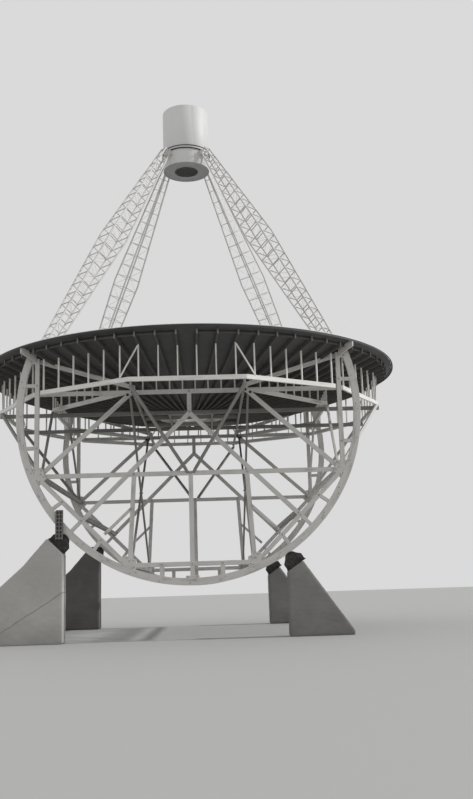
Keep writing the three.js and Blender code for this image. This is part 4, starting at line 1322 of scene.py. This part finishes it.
def make_drum_hoop():
    """The hoop that the legs hold the drum by: a pale band between two rolled iron rings, whose dark iron
    also stands as painted shadow lines above and below the band.
    """
    inner, face, flange = 0.571, 0.588, 0.6
    low, high = 0.023, 0.044
    edge = low - 0.0005
    ring = [
        (inner, low), (flange - 0.004, low), (flange, low + 0.004),
        (flange, high - 0.003), (flange - 0.004, high), (inner, high),
    ]
    rings = [turn(raised(ring, HOOP_Z, sign), 96) for sign in (-1, 1)]
    parts = [turn(raised(oblong(inner, face, -edge, edge), HOOP_Z), 96)]
    for bearing in np.arange(15, 360, 30):
        for nudge in (-1.5, 1.5):
            place = around(face - 0.0005, bearing + nudge, HOOP_Z)
            parts.append(fasten(NAIL, place, outward(bearing + nudge), 0.014))
    assemble("drum_band", parts, DRUM, "drum_hoop")
    # The dark iron rings also stand as painted shadow lines round the band.
    assemble("drum_hoop_rings", rings, IRON, "drum_hoop")


def make_drum_cap():
    outline = [
        (0, 0), (0.057, 0), (0.06, 0.003), (0.06, 0.012), (0.052, 0.018),
        (0.047, 0.05), (0.043, 0.057), (0.036, 0.06), (0, 0.06),
    ]
    cap = turn(raised(outline, DRUM_TOP_Z + DRUM_CONE + TOUCH), 32)
    assemble("drum_top_fitting", [cap], IRON, "drum_cap")


# PIERS AND ROLLERS


def seat_frame(roller_deg):
    """A seat's centre, the way it rises outwards, its normal towards the axle, and the roller's centre."""
    up_seat = outward(roller_deg).xzy
    to_axle = Vector((-up_seat.z, 0, up_seat.x))
    axle = Vector((0, -WHEEL_Y, AXIS_Z))
    return axle - to_axle * SEAT_RADIUS, up_seat, to_axle, axle - to_axle * ROLLER_CENTRE


def make_pier(roller_deg, outer_half, shoulder=None):
    """A cast block with a level foot, an upright inner face, the sloping seat and the outer slope."""
    centre, up_seat, _, _ = seat_frame(roller_deg)
    inner = centre - up_seat * SEAT_HALF
    peak = centre + up_seat * outer_half
    slope = (AXIS_Z - peak.z) / peak.x
    upper_x, upper_z = shoulder or (peak.x, peak.z)
    ground_x = upper_x + upper_z / slope
    outline = [(inner.x, 0)]
    if PIER_TOE_X < ground_x:
        outline += [(PIER_TOE_X, 0), (PIER_TOE_X, upper_z - (PIER_TOE_X - upper_x) * slope)]
    else:
        outline += [(ground_x - PIER_BLUNT, 0), (ground_x - PIER_BLUNT, PIER_BLUNT * slope)]
    outline += [shoulder] if shoulder else []
    outline += [(peak.x, peak.z), (inner.x, inner.z)]
    piece = apply(plate(outline, -WHEEL_Y, PIER_THICK, 0.008), "REMESH", mode="VOXEL", voxel_size=CAST_VOXEL)
    places = points_of(piece.data)
    wave = np.zeros(len(places))
    for scale, depth in ((3, 0.0015), (9, 0.0012), (27, 0.0007), (60, 0.0005)) * 3:
        wave += np.sin(places @ chance.uniform(-scale, scale, 3) + chance.uniform(0, 6)) * depth
    places += rows_of(piece.data.vertices, "normal") * (np.minimum(wave, 0.004) - 0.004)[:, None]
    places[:, 2] = np.maximum(places[:, 2], 0)
    move_points(piece.data, places)
    return piece


def make_truck(roller_deg):
    """A base plate on the seat with two cheeks, their bosses and the roller's axle."""
    centre, up_seat, to_axle, axle = seat_frame(roller_deg)

    def on_seat(u, v):
        return centre + up_seat * u + to_axle * v

    base_thick = 0.025
    base_at = base_thick / 2 + TOUCH
    parts = [board(on_seat(-0.21, base_at), on_seat(0.21, base_at), 0.23, base_thick, Y)]
    cheek = ((-0.2, 0.02), (0.2, 0.02), (0.2, 0.14), (0.08, 0.25), (-0.08, 0.25), (-0.2, 0.14))
    outline = [(place.x, place.z) for place in [on_seat(u, v) for u, v in cheek]]
    boss = [(0, -0.001), (0.026, -0.001), (0.026, 0.002), (0.024, 0.012), (0.022, 0.016), (0, 0.016)]
    for side in (-1, 1):
        parts.append(plate(outline, -WHEEL_Y + side * CHEEK_AT, CHEEK_THICK, 0.002))
        facing = Y * side
        to_face = facing * (CHEEK_AT + CHEEK_THICK / 2)
        parts.append(turn(boss, 24, place=stood(axle + to_face, facing)))
        parts.append(bolt(axle + to_face + facing * 0.015, facing, 0.02))
        for u in (-0.14, 0.14):
            parts.append(bolt(on_seat(u, base_thick + TOUCH) + facing * 0.096, to_axle, 0.024))
            parts.append(bolt(on_seat(u, 0.07) + to_face, facing, 0.02))
    parts.append(turn(oblong(0, AXLE_RADIUS, -CHEEK_AT, CHEEK_AT), 32, place=stood(axle, Y)))
    return parts


def make_jack_post():
    """The upright on the near left truck's outer cheek: a back plate, and rails and crossbars on it."""
    middle_y = -WHEEL_Y - CHEEK_AT - JACK_THICK / 2
    half = JACK_WIDE / 2

    def rail(x, y, *size):
        return board((x, y, JACK_LOW_Z), (x, y, JACK_TOP_Z), *size)

    back = [rail(JACK_X, middle_y + 0.008, 0.03, JACK_WIDE, Y)]
    ladder = [rail(JACK_X + side * (half - 0.0125), middle_y, 0.025, JACK_THICK, X) for side in (-1, 0, 1)]
    for height in np.arange(JACK_LOW_Z + 0.03, JACK_TOP_Z, TOOTH_PITCH):
        ends = [(JACK_X + side * (half - 0.002), middle_y, height) for side in (-1, 1)]
        ladder.append(board(*ends, 0.026, JACK_THICK - 0.002, Z))
    return back, ladder


def make_roller(roller_deg):
    """A flanged cast roller with a dished face and a hub round its bore."""
    flange = ROLLER_RADIUS + 0.02
    half = [
        (0.0185, 0.058), (0.036, 0.058), (0.039, 0.055), (0.042, 0.046), (0.05, 0.042), (0.088, 0.042),
        (0.096, 0.046), (0.099, 0.056), (0.102, 0.058), (flange - 0.003, 0.058), (flange, 0.055),
        (flange, 0.049), (flange - 0.002, 0.0465), (ROLLER_RADIUS + 0.002, 0.0455), (ROLLER_RADIUS, 0.044),
    ]
    return turn(half + raised(half[::-1], 0, -1), 64, place=stood(seat_frame(roller_deg)[-1], Y))


def make_ground_works():
    """The four piers with their trucks and rollers, each side made near and mirrored."""
    # Concrete in three tones by pier: the near left keeps the pale mix, the far left and the right piers take
    # darker mixes as painted shade.
    mixes = {"near_left": PALE_CONCRETE, "far_left": SHADE_DARKENED_CONCRETE}
    for side, sign, roller_deg, *shape in (
        ("left", -1, LEFT_ROLLER_DEG, SEAT_HALF, LEFT_SHOULDER),
        ("right", 1, RIGHT_ROLLER_DEG, NARROW_SEAT_HALF),
    ):
        pier = [make_pier(roller_deg, *shape)]
        truck = make_truck(roller_deg)
        roller = [make_roller(roller_deg)]
        for end, along in (("near", 1), ("far", -1)):
            name = end + "_" + side
            signs = (sign, along, 1)
            iron = mirrored(truck, signs)
            if name == "near_left":
                back, ladder = make_jack_post()
                iron += back
                assemble("jack_post", ladder, WORN_IRON, "truck_near_left", body="piers")
            mix = mixes.get(name, CONCRETE)
            block = assemble("pier_block_" + name, mirrored(pier, signs), mix, "pier_" + name, body="piers")
            block.data.shade_smooth()
            assemble("truck_irons_" + name, iron, IRON, "truck_" + name, body="piers")
            node = "roller_" + name
            assemble("cast_" + node, mirrored(roller, signs), IRON, node, body=node + "_body")
        for part in pier + truck + roller:
            bpy.data.objects.remove(part)


place_camera()
light_studio()
lay_floor()
make_wheels()
make_frame()
make_rafters()
make_bowl()
make_rim_band()
make_hub()
make_legs()
make_drum_sides()
make_drum_disc()
make_drum_hoop()
make_drum_cap()
make_ground_works()
